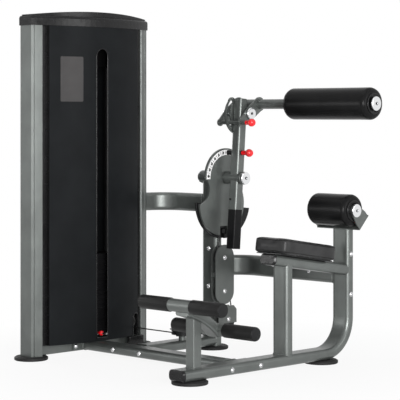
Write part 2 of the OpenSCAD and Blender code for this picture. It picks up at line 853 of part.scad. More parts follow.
// Bright arc with the start-position holes
module cam_scale() {
    color([0.92, 0.92, 0.92]) plate_x(pivot, cam_plate_x + cam_plate_t, 2) difference() {
        intersection() {
            circle(hole_ring_r + 13, $fn = 96);
            polygon([[0, 0], [-300, -12], [-300, 300], [80, 300]]);
        }
        circle(hole_ring_r - 12, $fn = 96);
        scale_holes_cut();
    }
}
module cable_clevis() {
    at = pivot + clevis_at;
    color(dark_paint) {
        pin_x(at, cable_x - 8, cam_plate_x + cam_plate_t - 1, 22);
        translate([cable_x, at[0], at[1] - 34]) cylinder(h = 26, d = 12);
    }
}

// Waisted hub: a collar by the cam, a neck through the arm and a flare up to the bright cap
hub_collar = 7;
hub_neck_r = 23.3;
arm_edge = 10;
module arm_hub() {
    far_face = arm_x + arm_w / 2 - hub_x0;
    spin_x(pivot, hub_x0) polygon([
        [0, 0], [hub_d / 2, 0], [hub_d / 2, hub_collar], [hub_neck_r, hub_collar],
        [hub_neck_r, far_face], [hub_d / 2, hub_x1 - hub_x0], [0, hub_x1 - hub_x0]
    ]);
}
module on_arm() translate([arm_x, pivot[0], pivot[1]]) rotate([-arm_tilt, 0, 0]) children();
module arm_tube() {
    inner = arm_w - 6;
    color(grey_paint) difference() {
        union() {
            difference() {
                on_arm() union() {
                    translate([0, 0, -arm_down]) linear_extrude(arm_up + arm_down) rounded(arm_w, arm_w, arm_edge);
                    translate([0, 0, arm_up]) linear_extrude(4) rounded(inner, inner, arm_edge - 3);
                }
                on_arm() translate([0, 0, -arm_down - 1]) linear_extrude(arm_up + arm_down - 3)
                    rounded(inner, inner, arm_edge - 3);
            }
            arm_hub();
        }
        pin_x(pivot, 0, 1000, shaft_d + 2 * fit);
        pin_x(link_pivot, 0, 1000, 30);
        pin_x(start_at, 0, 1000, barrel_d);
    }
}
module arm_weight() {
    color(black_plastic) on_arm() translate([0, 0, -arm_down - weight_l])
        linear_extrude(weight_l) rounded(arm_w + 2, arm_w + 2, 8);
}

// Plate beside the arm with the arc that the link's bar runs in
function polar(r, a) = r * [cos(a), sin(a)];
function arc_run(c, r, a0, a1, n) = [for (i = [0 : n]) c + polar(r, a0 + (a1 - a0) * i / n)];
module index_slot() {
    half = bar_d / 2 + 1;
    polygon(concat(
        arc_run([0, 0], bar_r + half, slot_a0, slot_a1, 16),
        arc_run(polar(bar_r, slot_a1), half, slot_a1 + 15, slot_a1 + 165, 10),
        arc_run([0, 0], bar_r - half, slot_a1, slot_a0, 16),
        arc_run(polar(bar_r, slot_a0), half, slot_a0 + 195, slot_a0 + 345, 10)
    ));
}
index_top_a = slot_a0 - 3;
module index_plate() {
    color(grey_paint) plate_x(link_pivot, arm_x - arm_w / 2 - 8, 8) difference() {
        union() {
            intersection() {
                translate([0, -6]) circle(index_r, $fn = 96);
                polygon([[0, 0], polar(250, index_top_a), [-200, -200], [20, -200]]);
            }
            translate(polar(bar_r - 2, index_top_a)) circle(24);
            circle(24);
        }
        index_slot();
        circle(15);
    }
}
module link_shaft() {
    near_cap_x = link_near_x + link_plate_t + 3;
    color(bright_steel) {
        pin_x(link_pivot, link_far_x + link_plate_t + gap, link_near_x - gap, 30);
        pin_x(link_pivot, link_far_x - 3, near_cap_x, 24);
        turned_cap(link_pivot, near_cap_x, 58);
        translate([link_far_x - 3 + near_cap_x, 0, 0]) mirror([1, 0, 0])
            turned_cap(link_pivot, near_cap_x, 58);
    }
}

// Rocking link: two plates, the bar at the low end and the roller tube at the high end
module link_outline() {
    rotate(link_angle) difference() {
        union() {
            polygon([[-bar_r, -16], [0, -link_w / 2], [link_r, -link_w / 2],
                [link_r, link_w / 2], [0, link_w / 2], [-bar_r, 16]]);
            translate([-bar_r, 0]) circle(18);
            translate([link_r, 0]) circle(link_w / 2 + 2);
        }
        circle(12 + fit);
    }
}
module roller_link() {
    color(grey_paint) {
        difference() {
            for (x = [link_far_x, link_near_x])
                plate_x(link_pivot, x, link_plate_t) link_outline();
            pin_x(chest_axis, 0, 2000, roller_tube_d);
            pin_x(bar_axis, 0, 2000, bar_d);
        }
        difference() {
            union() {
                pin_x(chest_axis, link_far_x - 4, roller_tube_end, roller_tube_d);
                // Collar that keeps the roller in place
                pin_x(chest_axis, chest_x0 - 18, chest_x0 - 10, roller_tube_d + 14);
            }
            pin_x(chest_axis, 0, 2000, roller_tube_d - 6);
        }
        difference() {
            pin_x(bar_axis, bar_x0, bar_x1, bar_d);
            pin_x(bar_axis, bar_x0 + 20, 1000, pin_d + 2 * fit);
        }
    }
}
module roller_tip_cap() color(bright_steel) turned_cap(chest_axis, roller_tube_end, 66);
module link_pin() {
    color(knob_red) {
        pin_x(bar_axis, bar_x0 + 60, bar_x1 + 3, pin_d);
        pull_knob(bar_axis, bar_x1 + 2, 39, 55);
    }
}
barrel_d = 24;
start_at = pivot + hole_ring_r * [sin(arm_tilt), cos(arm_tilt)];
start_barrel_x = arm_x + arm_w / 2 + 4;
module start_pin() {
    color(knob_red) {
        pin_x(start_at, cam_plate_x + cam_plate_t + 2 + 1, start_barrel_x + 3, pin_d);
        pull_knob(start_at, start_barrel_x + 2, 39, 63);
    }
}

// Barrel through the arm that guides the start pin
module start_pin_barrel() {
    color(dark_paint) difference() {
        pin_x(start_at, hub_x0 + 3, start_barrel_x, barrel_d);
        pin_x(start_at, 0, 1000, pin_d + 2 * fit);
    }
}

// Cable and pulleys

module pulley_form(r) {
    rim = r + flange_rise;
    web_in = axle_d / 2 + 8;
    web_out = r - 7;
    rotate_extrude() difference() {
        translate([axle_d / 2 + fit, -pulley_w / 2]) square([rim - axle_d / 2 - fit, pulley_w]);
        translate([r, 0]) circle(cable_d / 2 + groove_clear);
        translate([r, -cable_d / 2 - groove_clear]) square([2 * flange_rise, cable_d + 2 * groove_clear]);
        // Dished web on both sides
        for (z = [-pulley_w / 2 - 1, pulley_w / 2 - 4]) translate([web_in, z]) square([web_out - web_in, 5]);
    }
}
module pulley_x(at, x) {
    color(black_plastic) translate([x, at[0], at[1]]) rotate([0, 90, 0]) pulley_form(groove_r);
}
module upper_guide_pulley() pulley_x(guide_upper, cable_x);
module lower_guide_pulley() pulley_x(guide_lower, cable_x);
module column_pulley() pulley_x(column_pulley_at, cable_x);
module corner_pulley() {
    color(black_plastic) translate([corner_at[0], corner_at[1], cable_z]) pulley_form(groove_r);
}
module tower_foot_pulley() {
    color(black_plastic) translate([tower_foot_at[0], cable_y, tower_foot_at[1]]) rotate([90, 0, 0])
        pulley_form(small_groove_r);
}
module tower_far_pulley() pulley_x([top_far_y, top_pulley_z], 0);
module tower_near_pulley() pulley_x([top_near_y, top_pulley_z], 0);

// Plates and axles that carry the pulleys
column_face = column_x + tube_w / 2;
cheek_x = cable_x + pulley_w / 2 + 2;
cheek_t = 6;
back_t = 4;
module bracket_bridge(y, z, w, h) {
    translate([column_face, y - w / 2, z - h / 2]) cube([cheek_x - column_face, w, h]);
}

// Two plates with round ends, one on the column and one over the guide pulleys
module guide_outline(r) {
    for (at = [guide_upper, guide_lower]) translate(at) circle(r, $fn = 96);
    translate([column_y - r, guide_lower[1]]) square([2 * r, guide_upper[1] - guide_lower[1]]);
}
module guide_bracket() {
    mid_z = (guide_upper[1] + guide_lower[1]) / 2;
    color(grey_paint) {
        plate_x([0, 0], cheek_x, cheek_t) guide_outline(64);
        plate_x([0, 0], column_face, back_t) guide_outline(60);
        for (at = [guide_upper, guide_lower]) {
            pin_x(at, column_face, cheek_x + cheek_t, axle_d);
            pin_x(at, column_face, cable_x - pulley_w / 2 - 1, 30);
        }
        for (s = [-1, 1]) bracket_bridge(column_y + s * 52, mid_z, 12, 24);
    }
}

// Bracket of the low pulley on the column
module column_pulley_stand() {
    outline = [[823, 131], [823, 196], [843, 216], [928, 216], [948, 196], [948, 131]];
    plate_x([0, 0], cheek_x, cheek_t) polygon(outline);
    plate_x([0, 0], column_face, back_t) polygon(outline);
    pin_x(column_pulley_at, column_face, cheek_x + cheek_t, axle_d);
    pin_x(column_pulley_at, column_face, cable_x - pulley_w / 2 - 1, 30);
    bracket_bridge(834, 190, 12, 20);
}

// Upright axle of the corner pulley on the cross beam
corner_top = cable_z + pulley_w / 2 + 2;
module corner_pulley_stand() {
    translate([corner_at[0], corner_at[1], beam_z + beam_h / 2]) {
        cylinder(h = cable_z - pulley_w / 2 - 1 - beam_z - beam_h / 2, d = 34);
        cylinder(h = corner_top - beam_z - beam_h / 2, d = axle_d);
    }
}

// Two cheeks and an axle for the pulley in the foot of the tower and for those at its top
module tower_foot_stand() {
    reach = tower_foot_at[0] + 20 - base_beam_w / 2;
    for (s = [-1, 1]) translate([base_beam_w / 2, cable_y + s * (pulley_w / 2 + 4) - 3, foot_h])
        cube([reach, 6, tower_foot_at[1] + 20 - foot_h]);
    translate([tower_foot_at[0], cable_y + pulley_w / 2 + 7, tower_foot_at[1]]) rotate([90, 0, 0])
        cylinder(h = pulley_w + 14, d = axle_d);
    translate([base_beam_w / 2, cable_y - pulley_w / 2 - 7, foot_h]) cube([reach, pulley_w + 14, 6]);
}
module top_pulley_stand(y) {
    foot = crown_beam_z + crown_beam_h;
    for (s = [-1, 1]) translate([s * (pulley_w / 2 + 4) - 3, y - 20, foot])
        cube([6, 40, top_pulley_z + 18 - foot]);
    pin_x([y, top_pulley_z], -pulley_w / 2 - 7, pulley_w / 2 + 7, axle_d);
}
module pulley_stands() {
    color(grey_paint) {
        column_pulley_stand();
        corner_pulley_stand();
        tower_foot_stand();
        top_pulley_stand(top_far_y);
        top_pulley_stand(top_near_y);
    }
}

// Screws of the bolted floor joints, the column, the seat frame and the pulley axles
column_bolt_z = 403;
column_bolt_gap = 93;
brace_bolt_x = 836;
upright_bolts_z = [500, 311];
module bolt_on_x(x, at) translate([x, at[0], at[1]]) rotate([0, 90, 0]) bolt_head();
module bolt_on_y(x, y, z) translate([x, y, z]) rotate([90, 0, 0]) bolt_head();
module frame_bolts() {
    color(bright_steel) {
        for (s = [-1, 1]) {
            bolt_on_x(beam_near_x + flange_t, [beam_y + s * flange_bolt, beam_z]);
            bolt_on_x(seat_x + tube_w / 2, [beam_y + s * flange_bolt, beam_z]);
            bolt_on_y(column_x + s * flange_bolt, beam_y - beam_w / 2, beam_z);
            bolt_on_y(column_x, column_y - tube_h / 2, column_bolt_z + s * column_bolt_gap);
        }
        for (at = [guide_upper, guide_lower, column_pulley_at]) bolt_on_x(cheek_x + cheek_t, at);
        bolt_on_y(brace_bolt_x, upright_y - tube_h / 2 + join_drop / 2, brace_far_z);
        for (z = upright_bolts_z, side = [0, 1])
            translate([seat_x, 0, 0]) mirror([side, 0, 0]) bolt_on_x(tube_w / 2, [upright_y, z]);
        translate([corner_at[0], corner_at[1], corner_top]) bolt_head();
    }
}

// Cable: rings of eight points swept along straights and arcs
cable_sides = 8;
function arc_pts(c, r, a0, a1, n, x) =
    [for (i = [0 : n]) let (a = a0 + (a1 - a0) * i / n) [x, c[0] + r * cos(a), c[1] + r * sin(a)]];
cross_a = asin(2 * groove_r / (guide_upper[1] - guide_lower[1]));
lead = column_pulley_at - guide_lower;
side_a = atan2(lead[1], lead[0]) + 90;
clevis_end = pivot + clevis_at - [0, 35];
lift = clevis_end - guide_upper;
enter_a = atan2(lift[1], lift[0]) + acos(groove_r / norm(lift));
cable_path = concat(
    arc_pts(guide_upper, groove_r, enter_a, 180 + cross_a, 4, cable_x),
    arc_pts(guide_lower, groove_r, cross_a, side_a, 3, cable_x),
    arc_pts(column_pulley_at, groove_r, side_a, -90, 7, cable_x),
    [for (i = [0 : 6]) let (a = -90 * i / 6)
        [corner_at[0] + groove_r * cos(a), corner_at[1] + groove_r * sin(a), cable_z]],
    [for (i = [0 : 6]) let (a = -90 - 90 * i / 6)
        [tower_foot_at[0] + small_groove_r * cos(a), cable_y, tower_foot_at[1] + small_groove_r * sin(a)]],
    arc_pts([top_far_y, top_pulley_z], groove_r, 0, 90, 6, 0),
    arc_pts([top_near_y, top_pulley_z], groove_r, 90, 180, 6, 0)
);
function unit(v) = v / norm(v);
function path_dir(p, i) = unit(
    (i > 0 ? unit(p[i] - p[i - 1]) : [0, 0, 0]) + (i < len(p) - 1 ? unit(p[i + 1] - p[i]) : [0, 0, 0]));
function side_step(u, d) = unit(u - (u * d) * d);
function side_list(p, i, u) =
    i == len(p) ? [] : let (s = side_step(u, path_dir(p, i))) concat([s], side_list(p, i + 1, s));
module swept_cord(p, d) {
    us = side_list(p, 0, [1, 0.2, 0.3]);
    rings = [for (i = [0 : len(p) - 1]) let (t = path_dir(p, i), u = us[i], v = cross(t, u))
        each [for (k = [0 : cable_sides - 1]) let (a = 360 * k / cable_sides)
            p[i] + d / 2 * (u * cos(a) + v * sin(a))]];
    last = (len(p) - 1) * cable_sides;
    walls = [for (i = [0 : len(p) - 2], k = [0 : cable_sides - 1])
        let (a = i * cable_sides + k, b = i * cable_sides + (k + 1) % cable_sides)
            each [[a, a + cable_sides, b], [b, a + cable_sides, b + cable_sides]]];
    ends = [for (k = [1 : cable_sides - 2]) each [[0, k, k + 1], [last, last + k + 1, last + k]]];
    polyhedron(rings, concat(walls, ends));
}
module cable_run() color(black_plastic) swept_cord(cable_path, cable_d);

// The two stretches that change length as the arm swings
module cam_cable() {
    color(black_plastic) swept_cord([[cable_x, clevis_end[0], clevis_end[1]], cable_path[0]], cable_d);
}
module stack_cable() {
    foot = head_top + rod_nut_h;
    color(black_plastic) translate([0, stack_y, foot]) cylinder(h = top_pulley_z - foot, d = cable_d);
}

module placed() translate([-mid_x, -mid_y, 0]) children();

placed() tower_posts();
placed() tower_base();
placed() crown_beam();
placed() tower_crown();
placed() front_panel();
placed() rear_panel();
placed() panel_channels();
placed() guide_rods();
placed() stack_buffers();
placed() weight_plates();
placed() head_plate();
placed() selector_rod();
placed() selector_pin();
placed() selector_knob();
placed() main_beam();
placed() cross_beam();
placed() column();
placed() tower_brace();
placed() seat_brace();
placed() seat_frame();
placed() seat_post();
placed() seat_tube();
placed() tube_end_caps();
placed() rubber_feet();
placed() seat_plate();
placed() seat_cushion();
placed() foot_frame();
placed() foot_bars();
placed() foot_sleeves();
placed() lumbar_bracket();
placed() lumbar_axle();
placed() lumbar_roller();
placed() chest_roller();
placed() pivot_shaft();
placed() cam_plate();
placed() cam_sheave();
placed() cam_scale();
placed() cable_clevis();
placed() arm_tube();
placed() arm_weight();
placed() index_plate();
placed() link_shaft();
placed() roller_link();
placed() roller_tip_cap();
placed() start_pin();
placed() start_pin_barrel();
placed() link_pin();
placed() upper_guide_pulley();
placed() lower_guide_pulley();
placed() column_pulley();
placed() corner_pulley();
placed() tower_foot_pulley();
placed() tower_far_pulley();
placed() tower_near_pulley();
placed() guide_bracket();
placed() pulley_stands();
placed() frame_bolts();
placed() cable_run();
placed() cam_cable();
placed() stack_cable();
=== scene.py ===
# %% [markdown]
# # A seated crunch machine
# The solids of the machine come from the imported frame: the tower, the floor frame, the arm,
# the pulleys. This lesson gives them finishes and adds what a solid modeller leaves plain:
# upholstery, foam grips, a smooth cable, weld beads and small trim. Everything is in metres,
# +Z is up and the user faces -Y.

import json
import math

import bmesh
import bpy
from mathutils import Matrix, Vector, noise
from mathutils.bvhtree import BVHTree


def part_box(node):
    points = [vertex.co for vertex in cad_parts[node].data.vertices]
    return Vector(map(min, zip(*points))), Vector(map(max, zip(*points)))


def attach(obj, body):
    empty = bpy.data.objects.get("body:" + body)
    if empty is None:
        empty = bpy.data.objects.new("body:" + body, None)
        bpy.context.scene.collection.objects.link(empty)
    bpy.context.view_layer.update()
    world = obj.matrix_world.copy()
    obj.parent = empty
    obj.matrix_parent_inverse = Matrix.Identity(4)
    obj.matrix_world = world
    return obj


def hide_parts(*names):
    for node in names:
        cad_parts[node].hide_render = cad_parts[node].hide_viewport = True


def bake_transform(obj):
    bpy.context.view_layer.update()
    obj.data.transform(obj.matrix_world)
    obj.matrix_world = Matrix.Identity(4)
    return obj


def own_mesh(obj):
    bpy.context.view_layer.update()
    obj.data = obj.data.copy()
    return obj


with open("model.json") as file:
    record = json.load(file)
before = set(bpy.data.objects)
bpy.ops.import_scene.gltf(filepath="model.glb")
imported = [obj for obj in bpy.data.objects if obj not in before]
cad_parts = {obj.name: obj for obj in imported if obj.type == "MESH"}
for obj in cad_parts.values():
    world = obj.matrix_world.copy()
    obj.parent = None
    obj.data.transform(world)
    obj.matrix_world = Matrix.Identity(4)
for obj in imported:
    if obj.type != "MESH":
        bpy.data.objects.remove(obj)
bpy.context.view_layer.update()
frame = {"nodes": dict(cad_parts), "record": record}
nodes = frame["nodes"]

# %% [markdown]
# ## Camera
# The picture was taken from chest height, level, with a long lens, from between the tower's
# front and the seat's front. A level camera keeps the posts upright, and a shift of the
# sensor brings the floor into the frame without tilting it.

# %% Camera
CAMERA_AT = (5.4965, -5.4588, 1.1607)
CAMERA_TURN = math.radians(45)
LENS_MM = 148.8
SENSOR_MM = 36
SENSOR_DROP = -0.2155

camera_data = bpy.data.cameras.new("camera")
camera_data.lens = LENS_MM
camera_data.sensor_fit = "HORIZONTAL"
camera_data.sensor_width = SENSOR_MM
camera_data.shift_y = SENSOR_DROP
camera = bpy.data.objects.new("camera", camera_data)
camera.location = CAMERA_AT
camera.rotation_euler = (math.pi / 2, 0, CAMERA_TURN)
bpy.context.collection.objects.link(camera)
bpy.context.scene.camera = camera
bpy.context.scene.view_settings.view_transform = "Standard"
print("camera at", CAMERA_AT)

# %% [markdown]
# ## Finishes
# Each finish is a small node tree on Object coordinates, so its grain keeps its real size on
# every piece. The helpers below make the few nodes that all finishes share: a noise, a mix of
# two colours, a range and a bump.

# %% Node helpers
def new_finish(name):
    finish = bpy.data.materials.new(name)
    finish.use_nodes = True
    tree = finish.node_tree
    place = tree.nodes.new("ShaderNodeTexCoord").outputs["Object"]
    return finish, tree, tree.nodes["Principled BSDF"], place


def grain(tree, place, scale, detail=3.0, roughness=0.55):
    node = tree.nodes.new("ShaderNodeTexNoise")
    node.inputs["Scale"].default_value = scale
    node.inputs["Detail"].default_value = detail
    node.inputs["Roughness"].default_value = roughness
    tree.links.new(place, node.inputs["Vector"])
    return node.outputs["Fac"]


def pebbles(tree, place, scale):
    node = tree.nodes.new("ShaderNodeTexVoronoi")
    node.feature = "SMOOTH_F1"
    node.inputs["Scale"].default_value = scale
    node.inputs["Smoothness"].default_value = 0.4
    tree.links.new(place, node.inputs["Vector"])
    return node.outputs["Distance"]


def stretched(tree, place, scale_xyz):
    node = tree.nodes.new("ShaderNodeMapping")
    node.inputs["Scale"].default_value = scale_xyz
    tree.links.new(place, node.inputs["Vector"])
    return node.outputs["Vector"]


def spread(tree, value, low, high, from_low=0.3, from_high=0.7):
    node = tree.nodes.new("ShaderNodeMapRange")
    node.inputs["From Min"].default_value = from_low
    node.inputs["From Max"].default_value = from_high
    node.inputs["To Min"].default_value = low
    node.inputs["To Max"].default_value = high
    tree.links.new(value, node.inputs["Value"])
    return node.outputs["Result"]


def two_tone(tree, factor, first, second):
    node = tree.nodes.new("ShaderNodeMix")
    node.data_type = "RGBA"
    tree.links.new(factor, node.inputs["Factor"])
    node.inputs[6].default_value = (*first, 1)
    node.inputs[7].default_value = (*second, 1)
    return node.outputs[2]


def relief(tree, height, strength, depth):
    node = tree.nodes.new("ShaderNodeBump")
    node.inputs["Strength"].default_value = strength
    node.inputs["Distance"].default_value = depth
    tree.links.new(height, node.inputs["Height"])
    return node.outputs["Normal"]


print("node helpers ready")

# %% [markdown]
# ### Powder coat
# The tubes carry a mid-grey powder coat with a little metal in it. Powder flows before it
# sets, so the surface has a faint orange peel, and the tone drifts slightly along a tube.
# Metallic paint is a principled shader with part metal; the peel is a fine bump.

# %% Powder coat
PEEL_GRAIN, PEEL_DEPTH = 700.0, 0.0004
SCUFF_STRETCH = (60, 60, 18)


def tinted(tone, share):
    return [share * c for c in tone]


def powder_coat(name, tone, metal, shine, peel, gloss=0.5):
    finish, tree, shader, place = new_finish(name)
    drift = spread(tree, grain(tree, place, scale=7.0), 0, 1)
    colour = two_tone(tree, drift, tinted(tone, 0.86), tinted(tone, 1.14))
    tree.links.new(colour, shader.inputs["Base Color"])
    scuff = grain(tree, stretched(tree, place, SCUFF_STRETCH), scale=1.0, detail=5.0, roughness=0.7)
    tree.links.new(spread(tree, scuff, shine - 0.05, shine + 0.07), shader.inputs["Roughness"])
    skin = grain(tree, place, PEEL_GRAIN, detail=2.0)
    tree.links.new(relief(tree, skin, peel, PEEL_DEPTH), shader.inputs["Normal"])
    shader.inputs["Metallic"].default_value = metal
    shader.inputs["Specular IOR Level"].default_value = gloss
    return finish


FRAME_GREY = (0.114, 0.123, 0.118)
PANEL_BLACK = (0.0105, 0.0115, 0.0125)
DARK_STEEL_AND_ROD_SHADE = (0.010, 0.0104, 0.0108)
SCALE_WHITE = (0.7, 0.7, 0.7)
CARD_GREY = (0.048, 0.046, 0.046)
finishes = {
    "frame_paint": powder_coat(
        "grey_powder_coat", FRAME_GREY, metal=0.55, shine=0.33, peel=0.05, gloss=0.4),
    "panel_paint": powder_coat(
        "black_powder_coat", PANEL_BLACK, metal=0.0, shine=0.34, peel=0.05, gloss=0.04),
    # This dark finish also goes on the guide rods inside the tower, which are bright steel: on them its
    # dark colour is painted shade, the dark inside the tower.
    "dark_steel": powder_coat(
        "dark_steel_and_painted_rod_shade", DARK_STEEL_AND_ROD_SHADE, metal=0.1, shine=0.4, peel=0.06, gloss=0.15),
    "scale_white": powder_coat(
        "white_enamel", SCALE_WHITE, metal=0.0, shine=0.3, peel=0.04),
}
card_coat = powder_coat("card_grey", CARD_GREY, metal=0.0, shine=0.4, peel=0.05, gloss=0.15)
print("powder coats:", len(finishes) + 1)

# %% [markdown]
# ### Plastics, rubber and cast iron
# Moulded parts get a spark-eroded texture, rubber a coarser and duller one, and the cast
# plates a lumpy skin under thick paint. One function makes them all from a tone, a shine and
# the size of the texture.

# %% Moulded and cast finishes
MM_PER_M = 1000.0


def moulded(name, tone, shine, size_mm, depth_mm, gloss=0.5):
    finish, tree, shader, place = new_finish(name)
    drift = spread(tree, grain(tree, place, scale=12.0), 0, 1)
    colour = two_tone(tree, drift, tinted(tone, 0.8), tinted(tone, 1.2))
    tree.links.new(colour, shader.inputs["Base Color"])
    wear = grain(tree, place, scale=40.0)
    tree.links.new(spread(tree, wear, shine - 0.06, shine + 0.06), shader.inputs["Roughness"])
    skin = grain(tree, place, MM_PER_M / size_mm, detail=2.0)
    tree.links.new(relief(tree, skin, 0.35, depth_mm / MM_PER_M), shader.inputs["Normal"])
    shader.inputs["Specular IOR Level"].default_value = gloss
    return finish


MOULDING_BLACK = (0.006, 0.006, 0.0064)
NYLON_BLACK = (0.009, 0.009, 0.009)
RUBBER_BLACK = (0.012, 0.012, 0.012)
IRON_BLACK = (0.0055, 0.0055, 0.006)
PAINTED_SHADE_TONE = (0.0014, 0.0014, 0.0015)
KNOB_RED = (0.78, 0.008, 0.014)
for slot, name, tone, shine, size_mm, depth_mm, gloss in (
    ("black_plastic", "black_moulding", MOULDING_BLACK, 0.24, 0.8, 0.012, 0.24),
    ("pulley_plastic", "black_nylon", NYLON_BLACK, 0.4, 1.5, 0.1, 0.3),
    ("rubber", "black_rubber", RUBBER_BLACK, 0.62, 1.2, 0.3, 0.2),
    ("foam", "closed_cell_foam", NYLON_BLACK, 0.46, 1.6, 0.25, 0.14),
    ("black_iron", "painted_casting", IRON_BLACK, 0.42, 4.0, 0.3, 0.12),
    ("cable_coat", "cable_sheath", NYLON_BLACK, 0.35, 2.0, 0.1, 0.3),
    ("knob_red", "red_knob", KNOB_RED, 0.24, 3.0, 0.05, 0.5),
):
    finishes[slot] = moulded(name, tone, shine, size_mm, depth_mm, gloss)
# A near-black, almost matte finish for painted shade: it goes on the sheet behind the selector slot.
painted_shade_black = moulded("painted_shade_black", PAINTED_SHADE_TONE, shine=0.6, size_mm=1.2, depth_mm=0.2, gloss=0.02)
knob_shader = finishes["knob_red"].node_tree.nodes["Principled BSDF"]
knob_shader.inputs["Coat Weight"].default_value = 0.3
print("moulded finishes:", len(finishes))

# %% [markdown]
# ### Upholstery
# Gym vinyl has a leather grain: rounded pebbles about two millimetres across with fine
# creases between them. A smooth Voronoi distance gives that pattern of cells, and their edges
# are a little duller than their middles. The seat is the same vinyl in a lighter black than the
# rollers': the lighter colour is painted sheen, standing in for the light that the seat reflects.

# %% Upholstery vinyl
PEBBLE_GRAIN, PEBBLE_DEPTH = 420.0, 0.0005


def vinyl(name, tone):
    finish, tree, shader, place = new_finish(name)
    drift = spread(tree, grain(tree, place, scale=9.0), 0, 1)
    colour = two_tone(tree, drift, tinted(tone, 0.8), tinted(tone, 1.25))
    tree.links.new(colour, shader.inputs["Base Color"])
    cells = pebbles(tree, place, PEBBLE_GRAIN)
    sheen = spread(tree, cells, 0.2, 0.26, from_low=0.0, from_high=0.6)
    tree.links.new(sheen, shader.inputs["Roughness"])
    tree.links.new(relief(tree, cells, 0.1, PEBBLE_DEPTH), shader.inputs["Normal"])
    shader.inputs["Specular IOR Level"].default_value = 0.08
    return finish


ROLLER_BLACK = (0.007, 0.007, 0.0072)
# The seat's black is lighter than the rollers' black as painted sheen: it paints the light that the seat's
# faces reflect, on the same vinyl.
SEAT_BLACK_PAINTED_SHEEN = (0.034, 0.034, 0.0345)
finishes["vinyl"] = vinyl("black_vinyl", ROLLER_BLACK)
seat_vinyl_painted_sheen = vinyl("painted_sheen_seat_vinyl", SEAT_BLACK_PAINTED_SHEEN)
print("vinyls: 2")

# %% [markdown]
# ### Bright metal
# The turned caps are chromed and the rods ground. Both are full metals; the ground one has
# fine lines from a noise that is stretched along its length.

# %% Bright metal
LINE_DEPTH = 0.0001


def bright_metal(name, tone, shine, lines_xyz):
    finish, tree, shader, place = new_finish(name)
    lines = grain(tree, stretched(tree, place, lines_xyz), scale=1.0, detail=3.0)
    colour = two_tone(tree, spread(tree, lines, 0, 1), tinted(tone, 0.93), tone)
    tree.links.new(colour, shader.inputs["Base Color"])
    tree.links.new(spread(tree, lines, shine, shine + 0.06), shader.inputs["Roughness"])
    tree.links.new(relief(tree, lines, 0.06, LINE_DEPTH), shader.inputs["Normal"])
    shader.inputs["Metallic"].default_value = 1.0
    return finish


CHROME, CHROME_LINES = (0.80, 0.81, 0.82), (300, 900, 900)
GROUND_STEEL, GRINDING_LINES = (0.55, 0.55, 0.56), (40, 1200, 1200)
finishes["chrome"] = bright_metal("chrome", CHROME, 0.1, CHROME_LINES)
finishes["bare_steel"] = bright_metal("ground_steel", GROUND_STEEL, 0.22, GRINDING_LINES)
print("finishes:", sorted(finishes))

# %% [markdown]
# ### Finishes onto the solids
# The record says which slot each solid belongs to, so one loop dresses all of them. A solid
# keeps its mesh; only its material slots change.

# %% Dress the solids
for part in frame["record"]["subparts"]:
    solid = nodes[part["node"]]
    solid.data.materials.clear()
    solid.data.materials.append(finishes[part["material_slot"]])

# %% [markdown]
# ## Floor and light
# A pale sweep under soft light: a large lamp beside the camera, a tall narrow one on the
# user's side that draws a soft line along the rollers, weaker lamps at the seat, behind and
# above, and an even surround. The surround is white to the camera and in reflections and
# dimmer as a light, so the colours stay as they were mixed. Far from the machine the floor
# goes over to the same white, so no horizon shows; near it, it keeps part of its shading,
# and with it the machine's shadow.

# %% Floor
FLOOR_HALF = 30.0
floor_mesh = bmesh.new()
bmesh.ops.create_grid(floor_mesh, x_segments=1, y_segments=1, size=FLOOR_HALF)
floor_data = bpy.data.meshes.new("floor")
floor_mesh.to_mesh(floor_data)
floor_mesh.free()
floor = bpy.data.objects.new("floor", floor_data)
bpy.context.collection.objects.link(floor)
paper, paper_tree, paper_shader, paper_place = new_finish("white_paper")
PAPER_DARK, PAPER_LIGHT = (0.9, 0.9, 0.9), (0.93, 0.93, 0.93)
paper_drift = spread(paper_tree, grain(paper_tree, paper_place, scale=3.0), 0, 1)
paper_colour = two_tone(paper_tree, paper_drift, PAPER_DARK, PAPER_LIGHT)
paper_tree.links.new(paper_colour, paper_shader.inputs["Base Color"])
paper_shader.inputs["Roughness"].default_value = 0.6
paper_shader.inputs["Specular IOR Level"].default_value = 0.2


def seen_by_eye(tree):
    """1 for rays that show the background: straight to the camera, mirrored or through glass."""
    path = tree.nodes.new("ShaderNodeLightPath")
    either = path.outputs["Is Camera Ray"]
    for other in ("Is Glossy Ray", "Is Transmission Ray"):
        node = tree.nodes.new("ShaderNodeMath")
        node.operation = "MAXIMUM"
        tree.links.new(either, node.inputs[0])
        tree.links.new(path.outputs[other], node.inputs[1])
        either = node.outputs[0]
    return either


def times(tree, first, second):
    node = tree.nodes.new("ShaderNodeMath")
    node.operation = "MULTIPLY"
    tree.links.new(first, node.inputs[0])
    tree.links.new(second, node.inputs[1])
    return node.outputs[0]


NEAR_SHARE = 0.9
FADE_FROM, FADE_TO = 0.6, 1.7
reach = paper_tree.nodes.new("ShaderNodeVectorMath")
reach.operation = "LENGTH"
paper_tree.links.new(paper_place, reach.inputs[0])
share = spread(paper_tree, reach.outputs["Value"], NEAR_SHARE, 1.0, FADE_FROM, FADE_TO)
sweep = paper_tree.nodes.new("ShaderNodeEmission")
sweep.inputs["Color"].default_value = (1, 1, 1, 1)
sweep.inputs["Strength"].default_value = 1.0
floor_mix = paper_tree.nodes.new("ShaderNodeMixShader")
paper_tree.links.new(times(paper_tree, share, seen_by_eye(paper_tree)), floor_mix.inputs[0])
paper_tree.links.new(paper_shader.outputs[0], floor_mix.inputs[1])
paper_tree.links.new(sweep.outputs[0], floor_mix.inputs[2])
paper_tree.links.new(floor_mix.outputs[0], paper_tree.nodes["Material Output"].inputs["Surface"])
floor_data.materials.append(paper)
print("floor half width:", FLOOR_HALF)

